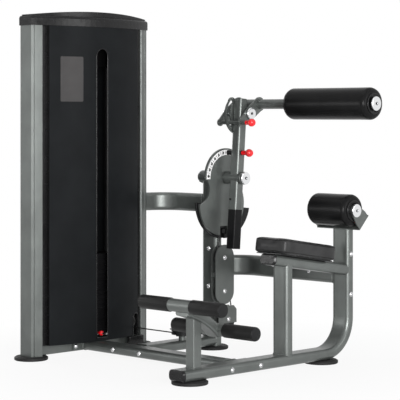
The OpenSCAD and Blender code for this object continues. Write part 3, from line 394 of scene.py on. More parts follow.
# %% Surround and lamps
SURROUND_LIGHT = 0.12
world = bpy.data.worlds.new("studio")
world.use_nodes = True
bpy.context.scene.world = world
sky = world.node_tree
sky.nodes.clear()
white = sky.nodes.new("ShaderNodeBackground")
white.inputs["Color"].default_value = (1, 1, 1, 1)
white.inputs["Strength"].default_value = 1.0
soft = sky.nodes.new("ShaderNodeBackground")
soft.inputs["Color"].default_value = (1, 1, 1, 1)
soft.inputs["Strength"].default_value = SURROUND_LIGHT
blend_sky = sky.nodes.new("ShaderNodeMixShader")
sky.links.new(seen_by_eye(sky), blend_sky.inputs[0])
sky.links.new(soft.outputs[0], blend_sky.inputs[1])
sky.links.new(white.outputs[0], blend_sky.inputs[2])
sky_out = sky.nodes.new("ShaderNodeOutputWorld")
sky.links.new(blend_sky.outputs[0], sky_out.inputs["Surface"])


def soft_lamp(name, at, aim, width, height, watts):
    data = bpy.data.lights.new(name, "AREA")
    data.shape = "ELLIPSE"
    data.size = width
    data.size_y = height
    data.energy = watts
    lamp = bpy.data.objects.new(name, data)
    lamp.location = at
    lamp.rotation_euler = (Vector(aim) - Vector(at)).to_track_quat("-Z", "Y").to_euler()
    bpy.context.collection.objects.link(lamp)
    return lamp


MACHINE_MIDDLE = (0, 0, 0.8)
ROLLERS_MIDDLE = (0.4, 0.3, 1.1)
FLOOR_MIDDLE = (0, 0, 0)
lamps = [
    soft_lamp("front_lamp", (5.9, -3.5, 1.4), MACHINE_MIDDLE, width=4.8, height=2.4, watts=560),
    soft_lamp("user_side_lamp", (-3.25, -4.4, 1.15), ROLLERS_MIDDLE, width=0.5, height=2.1, watts=28),
    soft_lamp("seat_side_lamp", (5.4, 2.2, 1.6), MACHINE_MIDDLE, width=2.4, height=2.4, watts=50),
    soft_lamp("top_lamp", (0.2, -0.4, 4.6), FLOOR_MIDDLE, width=2.4, height=2.4, watts=12),
    soft_lamp("rear_lamp", (-5.0, -0.6, 1.9), MACHINE_MIDDLE, width=2.6, height=2.6, watts=80),
]
print("lamps:", len(lamps))

# %% [markdown]
# ## Making pieces
# Every added piece is a bmesh that ends as an object at the origin, rides on a body and
# takes its finish from a slot. One helper does that, so a piece is only its shape. A piece
# can also be given no body.

# %% Piece helper
def make_piece(name, shape, slot, body, smooth=True):
    bmesh.ops.remove_doubles(shape, verts=shape.verts, dist=1e-6)
    bmesh.ops.recalc_face_normals(shape, faces=shape.faces)
    for face in shape.faces:
        face.smooth = smooth
    data = bpy.data.meshes.new(name)
    shape.to_mesh(data)
    shape.free()
    return place_piece(name, data, slot, body)


def place_piece(name, data, slot, body):
    piece = bpy.data.objects.new(name, data)
    data.materials.clear()
    data.materials.append(finishes[slot])
    bpy.context.collection.objects.link(piece)
    if body:
        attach(piece, body)
    return piece


def turned(profile, centre, rounded=(), radius=0.0, steps=96, rounding_steps=6):
    """Spins a closed outline of (x, r) points about an axis along X through centre."""
    shape = bmesh.new()
    corners = [shape.verts.new((x, centre[1], centre[2] + r)) for x, r in profile]
    for first, second in zip(corners, corners[1:] + corners[:1]):
        shape.edges.new((first, second))
    if rounded:
        bmesh.ops.bevel(
            shape, geom=[corners[i] for i in rounded], offset=radius, offset_type="OFFSET",
            affect="VERTICES", segments=rounding_steps, profile=0.5, material=-1,
        )
    bmesh.ops.spin(
        shape, geom=shape.verts[:] + shape.edges[:], cent=centre, axis=(1, 0, 0),
        angle=2 * math.pi, steps=steps, use_merge=True,
    )
    return shape


def soften_edges(shape, edges, radius, steps):
    bmesh.ops.bevel(
        shape, geom=edges, offset=radius, offset_type="OFFSET", affect="EDGES", segments=steps,
        profile=0.5, material=-1,
    )


def soft_block(size, at, rounding, steps):
    """A block with rounded edges, centred on a point."""
    shape = bmesh.new()
    bmesh.ops.create_cube(shape, size=1.0)
    bmesh.ops.scale(shape, vec=size, verts=shape.verts)
    soften_edges(shape, shape.edges[:], rounding, steps)
    bmesh.ops.translate(shape, vec=at, verts=shape.verts)
    return shape


def middle(node):
    low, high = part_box(node)
    return (Vector(low) + Vector(high)) / 2


def settled(source):
    """A mesh of the object with its modifiers applied."""
    graph = bpy.context.evaluated_depsgraph_get()
    return bpy.data.meshes.new_from_object(source.evaluated_get(graph))


def tube_along(name, points, radius, slot, body, closed=False):
    line = bpy.data.curves.new(name, "CURVE")
    line.dimensions = "3D"
    line.bevel_depth = radius
    line.bevel_resolution = 3
    line.use_fill_caps = True
    run = line.splines.new("POLY")
    run.points.add(len(points) - 1)
    for spot, place in zip(run.points, points):
        spot.co = (*place, 1)
    run.use_cyclic_u = closed
    source = bpy.data.objects.new(name + "_line", line)
    bpy.context.collection.objects.link(source)
    data = settled(source)
    bpy.data.objects.remove(source)
    for face in data.polygons:
        face.use_smooth = True
    return place_piece(name, data, slot, body)


print("piece helpers ready")

# %% [markdown]
# ## Rollers
# A roller is a foam tube in a tight vinyl sleeve, closed by a moulded ring at each end, with a
# fine sewn seam round each shoulder. The sleeve is an outline with two rounded corners, spun
# about the tube. A foam sleeve is never quite true, so its points then move by a fraction of
# a millimetre along a slow noise. A ring is a spun outline too, with a dished face.

# %% Roller sleeves and end rings
RING_PROUD, RING_BITE = 0.005, 0.002
RING_SHARE, RING_ROUND = 0.66, 0.0022
RING_PLAY = 0.0004
DISH_SHARE, DISH_LIP, DISH_FLOOR = 0.45, 0.86, 0.82
SLEEVE_ROUND = 0.022
SLEEVE_WAVE, WAVE_LENGTH = 0.0006, 0.07
SLEEVE_RINGS = 12
SEAM_R, SEAM_STEPS = 0.0009, 96


def soften(shape, amount, wavelength):
    shape.normal_update()
    for vert in shape.verts:
        vert.co += vert.normal * amount * noise.noise(vert.co / wavelength)


def sleeve_shape(centre, x0, x1, r, bore):
    top = [(x0 + (x1 - x0) * i / SLEEVE_RINGS, r) for i in range(1, SLEEVE_RINGS)]
    outline = [(x0, bore), (x0, r)] + top + [(x1, r), (x1, bore)]
    shape = turned(outline, centre, (1, SLEEVE_RINGS + 1), SLEEVE_ROUND, steps=120, rounding_steps=12)
    bmesh.ops.recalc_face_normals(shape, faces=shape.faces)
    soften(shape, SLEEVE_WAVE, WAVE_LENGTH)
    return shape


def ring_shape(centre, at, out, ring_r, bore):
    """The moulded ring on one end; out is -1 or 1, the way the end looks along X."""
    back = at - out * RING_BITE
    lip = at + out * RING_PROUD
    dish = at + out * RING_PROUD * DISH_SHARE
    inner = bore + RING_PLAY
    outline = [(back, inner), (back, ring_r), (lip, ring_r), (lip, ring_r * DISH_LIP),
               (dish, ring_r * DISH_FLOOR), (dish, inner)]
    return turned(outline, centre, (2, 3), RING_ROUND, rounding_steps=3)


def circle_about_x(centre, at, radius):
    turns = [2 * math.pi * i / SEAM_STEPS for i in range(SEAM_STEPS)]
    return [Vector((at, centre.y + radius * math.cos(a), centre.z + radius * math.sin(a))) for a in turns]


def roller(node, body, bore):
    low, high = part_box(node)
    centre = middle(node)
    r = (high[2] - low[2]) / 2
    x0, x1 = low[0] + RING_PROUD, high[0] - RING_PROUD
    sleeve = make_piece(node + "_sleeve", sleeve_shape(centre, x0, x1, r, bore), "vinyl", body)
    shoulder = SLEEVE_ROUND * (1 - math.sqrt(0.5))
    for side, at, out in (("inner", x0, -1), ("outer", x1, 1)):
        shape = ring_shape(centre, at, out, r * RING_SHARE, bore)
        end = make_piece(f"{node}_{side}_ring", shape, "black_plastic", body)
        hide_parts(node)
    for side, at in (("inner", x0 + shoulder), ("outer", x1 - shoulder)):
        loop = circle_about_x(centre, at, r - shoulder)
        seam = tube_along(f"{node}_{side}_seam", loop, SEAM_R, "vinyl", body, closed=True)
        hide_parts(node)
    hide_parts(node)
    return sleeve


TUBE_R = 0.02405
AXLE_R = 0.01255
chest_sleeve = roller("chest_roller", "chest_pad", TUBE_R)
lumbar_sleeve = roller("lumbar_roller", "lumbar_pad", AXLE_R)
print("sleeves:", chest_sleeve.name, lumbar_sleeve.name)

# %% [markdown]
# ## Foot grips
# Each end of the two foot bars has a black foam grip with softened edges and a flat plug in
# its end. The grips are spun like the rollers; the bars' own box gives the two axes.

# %% Foot grips
GRIP_LENGTH, GRIP_WALL, GRIP_ROUND = 0.178, 0.003, 0.0025
PLUG_PROUD, PLUG_ROUND = 0.004, 0.0012
PLUG_RIM, PLUG_FACE = 0.0022, 0.0008
BAR_R = 0.028
bars_low, bars_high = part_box("foot_bars")
upper_axis = (bars_low[1] + BAR_R, bars_high[2] - BAR_R)
lower_axis = (bars_high[1] - BAR_R, bars_low[2] + BAR_R)


def foot_grip(name_end, end, inward, axis):
    """The grip and its plug at one end of a bar; inward is the way to the bar's middle along X."""
    centre = Vector((end, *axis))
    grip_r = BAR_R + GRIP_WALL
    stop = end + inward * GRIP_LENGTH
    outline = [(end, BAR_R), (end, grip_r), (stop, grip_r), (stop, BAR_R)]
    shape = turned(outline, centre, (1, 2), GRIP_ROUND, steps=72, rounding_steps=4)
    grip = make_piece("foot_grip_" + name_end, shape, "foam", "frame")
    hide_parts("foot_sleeves")
    face = end - inward * PLUG_PROUD
    outline = [(end, 0.0), (end, BAR_R + PLUG_RIM), (face, BAR_R + PLUG_FACE), (face, 0.0)]
    shape = turned(outline, centre, (1, 2), PLUG_ROUND, steps=72, rounding_steps=3)
    plug = make_piece("foot_plug_" + name_end, shape, "dark_steel", "frame")
    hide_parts("foot_sleeves")
    return grip


grips = []
for height, axis in (("upper", upper_axis), ("lower", lower_axis)):
    for side, end, inward in (("left", bars_low[0], 1), ("right", bars_high[0], -1)):
        grips.append(foot_grip(f"{height}_{side}", end, inward, axis))
print("grips with plugs:", len(grips))

# %% [markdown]
# ## Seat cushion
# The seat is a firm foam block in stretched vinyl. A rounded block is swollen a little with
# a cloth simulation, so that its faces crown and its corners stay put, and thin sewn welts
# run round its top and bottom edges. It is made level and then laid on the seat tube's slope.

# %% Cushion block
SEAT_SLOPE = math.radians(-8.8)
CUSHION_SIZE = (0.200, 0.376, 0.070)
CUSHION_CORNER, CUSHION_EDGE = 0.03, 0.009
lay = Matrix.Translation(middle("seat_cushion")) @ Matrix.Rotation(SEAT_SLOPE, 4, "X")


def is_level(edge):
    return abs(edge.verts[0].co.z - edge.verts[1].co.z) < 1e-5


block = bmesh.new()
bmesh.ops.create_cube(block, size=1.0)
bmesh.ops.scale(block, vec=CUSHION_SIZE, verts=block.verts)
soften_edges(block, [e for e in block.edges if not is_level(e)], CUSHION_CORNER, steps=6)
rims = [e for e in block.edges if is_level(e) and any(abs(f.normal.z) > 0.9 for f in e.link_faces)]
soften_edges(block, rims, CUSHION_EDGE, steps=5)
block_data = bpy.data.meshes.new("cushion_block")
block.to_mesh(block_data)
block.free()
print("cushion block:", len(block_data.vertices), "points")

# %% Swell the cushion
VOXEL = 0.005
SWELL_PRESSURE = 2.0
SWELL_CAP = 0.004
SWELL_FRAMES = 20
CALM_PASSES = 6


def swell(data):
    pad = bpy.data.objects.new("cushion_form", data)
    bpy.context.collection.objects.link(pad)
    remesh = pad.modifiers.new("remesh", "REMESH")
    remesh.mode = "VOXEL"
    remesh.voxel_size = VOXEL
    fine = settled(pad)
    pad.modifiers.clear()
    pad.data = fine
    start = [vert.co.copy() for vert in fine.vertices]
    cloth = pad.modifiers.new("cloth", "CLOTH")
    cloth.settings.use_pressure = True
    cloth.settings.uniform_pressure_force = SWELL_PRESSURE
    cloth.settings.effector_weights.gravity = 0.0
    cloth.point_cache.frame_start = 1
    cloth.point_cache.frame_end = SWELL_FRAMES
    for step in range(1, SWELL_FRAMES + 1):
        bpy.context.scene.frame_set(step)
    fine = settled(pad)
    pad.modifiers.clear()
    bpy.context.scene.frame_set(1)
    for vert, was in zip(fine.vertices, start):
        move = vert.co - was
        if move.length > SWELL_CAP:
            vert.co = was + move.normalized() * SWELL_CAP
    bpy.data.objects.remove(pad)
    return fine


def calmed(data, passes):
    """The mesh with its short waves evened out."""
    shape = bmesh.new()
    shape.from_mesh(data)
    for _ in range(passes):
        bmesh.ops.smooth_vert(
            shape, verts=shape.verts, factor=0.5, use_axis_x=True, use_axis_y=True, use_axis_z=True)
    shape.to_mesh(data)
    shape.free()
    return data


cushion_data = calmed(swell(block_data), CALM_PASSES)
print("swollen pad:", len(cushion_data.vertices), "points")

# %% Fit the cushion and lay it on the seat
FULL_SIZE = (0.205, 0.381, 0.073)
DRAW_IN = 0.002
half_x, half_y, half_z = (side / 2 for side in CUSHION_SIZE)
for axis in range(3):
    places = [vert.co[axis] for vert in cushion_data.vertices]
    low, high = min(places), max(places)
    for vert in cushion_data.vertices:
        vert.co[axis] = (vert.co[axis] - (low + high) / 2) * FULL_SIZE[axis] / (high - low)
for vert in cushion_data.vertices:
    along = min(1.0, abs(vert.co.y) / half_y)
    across = min(1.0, abs(vert.co.x) / half_x)
    vert.co.x *= 1 - DRAW_IN / half_x * (1 - along * along)
    vert.co.y *= 1 - DRAW_IN / half_y * (1 - across * across)
    vert.co.z = max(vert.co.z, -half_z)
cushion_data.transform(lay)
for face in cushion_data.polygons:
    face.use_smooth = True
seat_pad = place_piece("seat_pad", cushion_data, "vinyl", "frame")
# The seat pad takes the lighter vinyl, whose colour paints the sheen of light on the seat.
cushion_data.materials[0] = seat_vinyl_painted_sheen
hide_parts("seat_cushion")
even = seat_pad.modifiers.new("even", "SUBSURF")
even.levels = even.render_levels = 1
print("seat pad:", len(cushion_data.vertices), "points")

# %% [markdown]
# ### Sewn welt
# Where the top and bottom panels of the cover meet its side band, the edges are sewn round a
# thin cord. The cord's line is a rounded rectangle, and each of its points is moved to the
# nearest point of the swollen pad, so that the welt lies on the vinyl all round.

# %% Welt round the cushion
WELT_R, WELT_STEP = 0.0014, 0.012
WELT_BELOW_TOP, WELT_ABOVE_BOTTOM = 0.004, 0.006


def rounded_outline(half_w, half_h, radius, steps=8):
    """Points of a rounded rectangle about the origin, anticlockwise."""
    points = []
    for sx, sy, start in ((1, 1, 0), (-1, 1, 90), (-1, -1, 180), (1, -1, 270)):
        for i in range(steps + 1):
            a = math.radians(start + 90 * i / steps)
            points.append((sx * (half_w - radius) + radius * math.cos(a),
                           sy * (half_h - radius) + radius * math.sin(a)))
    return points


def filled_in(points, longest):
    """The closed line with extra points, so that no step is longer than asked."""
    line = []
    for first, second in zip(points, points[1:] + points[:1]):
        count = max(1, math.ceil((second - first).length / longest))
        line += [first.lerp(second, i / count) for i in range(count)]
    return line


pad_skin = BVHTree.FromPolygons(
    [vert.co for vert in cushion_data.vertices], [face.vertices[:] for face in cushion_data.polygons])
for level, height in (("top", half_z - WELT_BELOW_TOP), ("bottom", WELT_ABOVE_BOTTOM - half_z)):
    ring = [Vector((x, y, height)) for x, y in rounded_outline(half_x, half_y, CUSHION_CORNER)]
    welt_line = [pad_skin.find_nearest(lay @ spot)[0] for spot in filled_in(ring, WELT_STEP)]
    welt = tube_along("cushion_welt_" + level, welt_line, WELT_R, "vinyl", "frame", closed=True)
    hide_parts("seat_cushion")
print("welts:", 2, "points each about", len(welt_line))

# %% [markdown]
# ### Base board
# The cover is stapled under a thin plywood board with a black underside, which rests on the
# seat plate and is longer and wider than it. A softened block, laid on the same slope as the
# cushion, is enough.

# %% Board under the cushion
BOARD, BOARD_ROUND = (0.150, 0.358, 0.0046), 0.0008
BOARD_SINK = 0.0004
board = soft_block(BOARD, (0, 0, BOARD_SINK - half_z - BOARD[2] / 2), BOARD_ROUND, steps=2)
bmesh.ops.transform(board, matrix=lay, verts=board.verts)
make_piece("cushion_board", board, "black_plastic", "frame", smooth=False)
print("board under the cushion:", BOARD)

# %% [markdown]
# ## Cable
# The coated cable is straight between pulleys and follows each groove as an arc. The route
# is the solid's route with finer arcs, made as a curve with a round section and turned into
# a mesh. The stretch to the cam runs straight from the first groove to the cam's clevis and
# is given no body; the stretch over the stack runs straight down to the stack cable's foot.

# %% Cable helpers
CABLE_R = 0.003
GROOVE_R = 0.045
SMALL_GROOVE_R = 0.032


def arc_about(centre, first, second, radius, start, end, steps=16):
    """Points from angle start to end, measured from the first direction to the second."""
    angles = [math.radians(start + (end - start) * i / steps) for i in range(steps + 1)]
    return [centre + radius * (math.cos(a) * first + math.sin(a) * second) for a in angles]


X, Y, Z = Vector((1, 0, 0)), Vector((0, 1, 0)), Vector((0, 0, 1))
upper = middle("upper_guide_pulley")
lower = middle("lower_guide_pulley")
low_pulley = middle("column_pulley")
corner = middle("corner_pulley")
tower_foot = middle("tower_foot_pulley")
top_far = middle("tower_far_pulley")
top_near = middle("tower_near_pulley")
clevis_low, clevis_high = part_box("cable_clevis")
clevis_end = Vector((upper.x, (clevis_low[1] + clevis_high[1]) / 2, clevis_low[2]))
lift = clevis_end - upper
enter_angle = math.degrees(math.atan2(lift.z, lift.y) + math.acos(GROOVE_R / lift.length))
cross_angle = math.degrees(math.asin(2 * GROOVE_R / (upper.z - lower.z)))
lead = low_pulley - lower
side_angle = math.degrees(math.atan2(lead.z, lead.y)) + 90
print("cable enters at", round(enter_angle, 1), "crosses at", round(cross_angle, 1))

# %% Cable runs
route = (
    arc_about(upper, Y, Z, GROOVE_R, enter_angle, 180 + cross_angle)
    + arc_about(lower, Y, Z, GROOVE_R, cross_angle, side_angle)
    + arc_about(low_pulley, Y, Z, GROOVE_R, side_angle, -90)
    + arc_about(corner, X, Y, GROOVE_R, 0, -90)
    + arc_about(tower_foot, X, Z, SMALL_GROOVE_R, -90, -180)
    + arc_about(top_far, Y, Z, GROOVE_R, 0, 90)
    + arc_about(top_near, Y, Z, GROOVE_R, 90, 180)
)
long_run = tube_along("cable_long_run", route, CABLE_R, "cable_coat", "frame")
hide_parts("cable_run")

BLEND_STEPS = 48
to_cam = [route[0].lerp(clevis_end, i / BLEND_STEPS) for i in range(BLEND_STEPS + 1)]
cam_run = tube_along("cable_to_cam", to_cam, CABLE_R, "cable_coat", None)
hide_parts("cam_cable")
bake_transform(cam_run)

stack_top = route[-1]
stack_foot = Vector((stack_top.x, stack_top.y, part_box("stack_cable")[0][2]))
stack_run = tube_along("cable_to_stack", [stack_top, stack_foot], CABLE_R, "cable_coat", "frame")
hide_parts("stack_cable")
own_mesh(stack_run)
length = sum((b - a).length for a, b in zip(route, route[1:]))
length += (clevis_end - route[0]).length + stack_top.z - stack_foot.z
print("cable length:", round(length, 3))

# %% [markdown]
# ## Tower trim
# The cut edges of the two slots are covered by a slim round trim, a near-black sheet behind the
# top of the selector slot paints the shade inside the tower above the stack, a bare plate sits
# on the left of the panel, and a button closes a hole beside the cable slot. All follow the
# curved front panel, so one function gives the point of its face at a height and a station.

# %% Points on the front panel
PANEL_ARC_R = 1.01186
panel_low, panel_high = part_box("front_panel")
panel_mid = (panel_low[1] + panel_high[1]) / 2
slot_mid = middle("selector_knob").y


def on_panel(y, z, lift=0.0):
    along = y - panel_mid
    sag = PANEL_ARC_R - math.sqrt(PANEL_ARC_R ** 2 - along ** 2)
    return Vector((panel_high[0] - sag + lift, y, z))


TRIM_R = 0.0024
SELECTOR_HALF, SELECTOR_FOOT, SELECTOR_TOP = 0.036, 0.080, 1.474
CABLE_HALF, CABLE_TOP = 0.022, 0.176
CABLE_SLOT_SHIFT, CABLE_SLOT_LIFT = 0.010, 0.003


def slot_edge(mid, half, foot, top, steps=40, arch_steps=24):
    """Points up one side of a slot in the panel, over its round top and down the other side."""
    spring = top - half
    rise = [on_panel(mid - half, foot + (spring - foot) * i / steps) for i in range(steps + 1)]
    turns = [math.pi * i / arch_steps for i in range(1, arch_steps)]
    arch = [on_panel(mid - half * math.cos(a), spring + half * math.sin(a)) for a in turns]
    return rise + arch + [on_panel(mid + half, spot.z) for spot in reversed(rise)]


selector_edge = slot_edge(slot_mid, SELECTOR_HALF, SELECTOR_FOOT, SELECTOR_TOP)
cable_foot = panel_low[2] + CABLE_SLOT_LIFT
cable_edge = slot_edge(tower_foot.y + CABLE_SLOT_SHIFT, CABLE_HALF, cable_foot, CABLE_TOP)
tube_along("selector_slot_trim", selector_edge, TRIM_R, "black_plastic", "frame", closed=True)
tube_along("cable_slot_trim", cable_edge, TRIM_R, "black_plastic", "frame")
print("slot trim points:", len(selector_edge), len(cable_edge))

# %% Painted shade: a near-black sheet behind the top of the selector slot
SHADE, SHADE_ROUND = (0.002, 0.11, 0.10), 0.0006
SHADE_BACK, SHADE_Z = 0.03, 1.436
shade_at = on_panel(slot_mid, SHADE_Z, -SHADE_BACK)
painted_shade_sheet = make_piece("slot_painted_shade", soft_block(SHADE, shade_at, SHADE_ROUND, steps=2), "panel_paint", "frame")
# The sheet's near-black finish paints the shade inside the tower behind the slot.
painted_shade_sheet.data.materials[0] = painted_shade_black
print("slot shade at", tuple(round(c, 3) for c in shade_at))

# %% Bare plate
CARD_W, CARD_H, CARD_T = 0.125, 0.214, 0.0012
CARD_FROM_SLOT, CARD_Z = 0.1795, 1.326
CARD_ROUND, CARD_LIFT = 0.04, 0.0004
card = bmesh.new()
bmesh.ops.create_grid(card, x_segments=12, y_segments=12, size=0.5)
corners = [v for v in card.verts if len(v.link_edges) == 2]
bmesh.ops.bevel(
    card, geom=corners, offset=CARD_ROUND, offset_type="OFFSET", affect="VERTICES", segments=4,
    profile=0.5, material=-1,
)
for vert in card.verts:
    across = slot_mid - CARD_FROM_SLOT + vert.co.x * CARD_W
    vert.co = on_panel(across, CARD_Z + vert.co.y * CARD_H, CARD_LIFT)
bmesh.ops.recalc_face_normals(card, faces=card.faces)
if sum(face.normal.x for face in card.faces) < 0:
    bmesh.ops.reverse_faces(card, faces=card.faces)
bmesh.ops.solidify(card, geom=card.faces[:], thickness=-CARD_T)
plate = make_piece("bare_card_plate", card, "dark_steel", "frame", smooth=False)
plate.data.materials[0] = card_coat
print("bare plate:", CARD_W, "by", CARD_H)

# %% Hole button
BUTTON_R, BUTTON_ROUND = 0.009, 0.002
BUTTON_BACK, BUTTON_PROUD = 0.004, 0.003
BUTTON_SHIFT, BUTTON_Z = 0.035, 0.227
button_at = on_panel(tower_foot.y + BUTTON_SHIFT, BUTTON_Z)
back, front = button_at.x - BUTTON_BACK, button_at.x + BUTTON_PROUD
button_outline = [(back, 0.0), (back, BUTTON_R), (front, BUTTON_R), (front, 0.0)]
button = turned(button_outline, button_at, (2,), BUTTON_ROUND, steps=48, rounding_steps=4)
make_piece("panel_hole_button", button, "black_plastic", "frame")
print("button at", tuple(round(c, 3) for c in button_at))

# %% Cover of the foot pulley
COVER, COVER_ROUND = (0.026, 0.096, 0.044), 0.005
COVER_SHIFT, COVER_Z = (0.0345, 0.014), 0.042
cover_at = Vector((tower_foot.x + COVER_SHIFT[0], tower_foot.y + COVER_SHIFT[1], COVER_Z))
make_piece("foot_pulley_cover", soft_block(COVER, cover_at, COVER_ROUND, steps=4), "black_plastic", "frame")
print("cover at", tuple(round(c, 3) for c in cover_at))

# %% [markdown]
# ### Guard of the corner pulley
# The flat pulley that turns the cable towards the tower has a guard: a round lid just above
# the wheel and an upright lip on the side of the walkway. The lip is a short line that is
# spun through part of a turn and given a wall; the lid is a disc with a softened rim.

# %% Corner guard
GUARD_T, GUARD_ROUND = 0.0025, 0.0006
GUARD_PLAY, GUARD_GAP = 0.008, 0.004
LIP_FROM, LIP_TURN = math.radians(-74), math.radians(58)
wheel_low, wheel_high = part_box("corner_pulley")
guard_r = (wheel_high[0] - wheel_low[0]) / 2 + GUARD_PLAY
lid_z = wheel_high[2] + GUARD_GAP
lip_x = corner.x + guard_r * math.cos(LIP_FROM)
lip_y = corner.y + guard_r * math.sin(LIP_FROM)
lip = bmesh.new()
lip_ends = [lip.verts.new((lip_x, lip_y, z)) for z in (wheel_low[2] - GUARD_GAP, lid_z + GUARD_T)]
lip_line = lip_ends + [lip.edges.new(lip_ends)]
bmesh.ops.spin(lip, geom=lip_line, cent=corner, axis=(0, 0, 1), angle=LIP_TURN, steps=24)
bmesh.ops.recalc_face_normals(lip, faces=lip.faces)
lip_face = lip.faces[:][0]
if lip_face.normal.dot(lip_face.calc_center_median() - corner) < 0:
    bmesh.ops.reverse_faces(lip, faces=lip.faces)
bmesh.ops.solidify(lip, geom=lip.faces[:], thickness=GUARD_T)
make_piece("corner_guard_lip", lip, "dark_steel", "frame", smooth=False)
lid = bmesh.new()
bmesh.ops.create_cone(
    lid, cap_ends=True, cap_tris=False, segments=64, radius1=guard_r, radius2=guard_r, depth=GUARD_T)
soften_edges(lid, [e for e in lid.edges if is_level(e)], GUARD_ROUND, steps=2)
bmesh.ops.translate(lid, vec=(corner.x, corner.y, lid_z + GUARD_T / 2), verts=lid.verts)
make_piece("corner_guard_lid", lid, "dark_steel", "frame", smooth=False)
print("corner guard radius", round(guard_r, 4), "lid at", round(lid_z, 4))

# %% [markdown]
# ## Welds
# The tubes are joined by a hand-run fillet weld: a thin rounded bead with a ripple every few
# millimetres. A bead is a tube round the outline of the joined section, and its points move
# up and down a little along the line, which gives the ripple.

# %% Weld beads
BEAD_R = 0.0028
RIPPLE, RIPPLE_DEPTH = 0.0045, 0.0004


def weld(name, centre, wide, tall, half_w, half_h, radius):
    """A bead round a rounded rectangle in the plane of two directions."""
    middle_at = Vector(centre)
    outline = [middle_at + x * wide + y * tall for x, y in rounded_outline(half_w, half_h, radius)]
    bead = tube_along(name, filled_in(outline, RIPPLE / 2), BEAD_R, "frame_paint", "frame", closed=True)
    across = wide.cross(tall)
    for vert in bead.data.vertices:
        off = vert.co - middle_at
        turn = math.atan2(off.dot(tall), off.dot(wide))
        vert.co += across * RIPPLE_DEPTH * math.sin(turn * (half_w + half_h) * 2 / RIPPLE)
    return bead


BEAM_Z, BEAM_TOP = 0.043, 0.0682
FLANGE_T = 0.008
TUBE_ROUND, SQUARE_ROUND = 0.018, 0.006
BEAM_HALF = (0.048, 0.023)
TOWER_BRACE_HALF, TOWER_BRACE_Z = (0.023, 0.045), 0.719
SEAT_BRACE_HALF, SEAT_BRACE_Z = (0.023, 0.05), 0.407
FOOT_POST_HALF, FOOT_POST_FROM_END = (0.0255, 0.0255), 0.095
COLUMN_FROM_PULLEY = 0.07
COLUMN_HALF = SEAT_FRAME_HALF = 0.05
SEAT_BRACE_FROM_BACK = 0.025
beam_low, beam_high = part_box("main_beam")
beam_y = middle("main_beam").y
cross_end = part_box("cross_beam")[0][1]
post_low, post_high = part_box("seat_post")
post_at = middle("seat_post")
post_half = ((post_high[0] - post_low[0]) / 2, (post_high[1] - post_low[1]) / 2)
frame_low, frame_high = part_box("seat_frame")
frame_x = (frame_low[0] + frame_high[0]) / 2
column_x = low_pulley.x - COLUMN_FROM_PULLEY
foot_y = frame_low[1] + FOOT_POST_FROM_END
brace_y = frame_high[1] - SEAT_BRACE_FROM_BACK
beads = [
    weld("weld_beam_tower_end", (beam_low[0] + FLANGE_T, beam_y, BEAM_Z), Y, Z, *BEAM_HALF, TUBE_ROUND),
    weld("weld_beam_seat_end", (beam_high[0] - FLANGE_T, beam_y, BEAM_Z), Y, Z, *BEAM_HALF, TUBE_ROUND),
    weld("weld_cross_beam_end", (column_x, cross_end + FLANGE_T, BEAM_Z), X, Z, *BEAM_HALF, TUBE_ROUND),
    weld("weld_foot_post", (frame_x, foot_y, BEAM_TOP), X, Y, *FOOT_POST_HALF, SQUARE_ROUND),
    weld("weld_tower_brace", (column_x - COLUMN_HALF, upper.y, TOWER_BRACE_Z), Y, Z,
         *TOWER_BRACE_HALF, TUBE_ROUND),
    weld("weld_seat_brace", (frame_x - SEAT_FRAME_HALF, brace_y, SEAT_BRACE_Z), Y, Z,
         *SEAT_BRACE_HALF, TUBE_ROUND),
    weld("weld_seat_post", (post_at.x, post_at.y, BEAM_TOP), X, Y, *post_half, TUBE_ROUND),
]
print("weld beads:", len(beads))

# %% [markdown]
# ## Sockets
# The bright caps are the heads of shoulder bolts: each has a hexagon socket in its middle.
# The turned recess is in the solid; a black six-sided plug at its floor paints its shade.

# %% Painted shade in the sockets of the bright caps
SOCKET_R = 0.0066
SOCKET_H = 0.0016
CAP_DEPTH = 0.004


def socket_shade(name, at, out, body):
    """A black six-sided plug at the floor of a cap's hexagon recess, painting the shade in it; out is -1 or
    1, the way the face looks along X.
    """
    shape = bmesh.new()
    bmesh.ops.create_cone(
        shape, cap_ends=True, cap_tris=False, segments=6, radius1=SOCKET_R, radius2=SOCKET_R,
        depth=SOCKET_H)
    to_x = Matrix.Rotation(math.pi / 2, 3, "Y")
    bmesh.ops.rotate(shape, cent=(0, 0, 0), matrix=to_x, verts=shape.verts)
    spot = at - out * (CAP_DEPTH - SOCKET_H / 2) * X
    bmesh.ops.translate(shape, vec=spot, verts=shape.verts)
    return make_piece(name, shape, "black_plastic", body, smooth=False)


socket_shades = []
for node, body, ends in (
    ("pivot_shaft", "cam", ("right",)),
    ("link_shaft", "arm", ("right", "left")),
    ("roller_tip_cap", "link", ("right",)),
    ("lumbar_axle", "frame", ("right", "left")),
):
    low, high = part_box(node)
    for side in ends:
        face_x, out = (high[0], 1) if side == "right" else (low[0], -1)
        at = Vector((face_x, middle(node).y, middle(node).z))
        socket_shades.append(socket_shade(f"{node}_socket_{side}", at, out, body))
print("sockets:", len(socket_shades))

# %% [markdown]
# ## Arm hub
# The arm is clamped on a spool: a hub that is narrow in the middle and widens to the cam on
# one side and to the bright cap on the other. The solid hub ends at the arm's faces; a turned
# sleeve carries its waist across them, so that the hub reads as one piece.

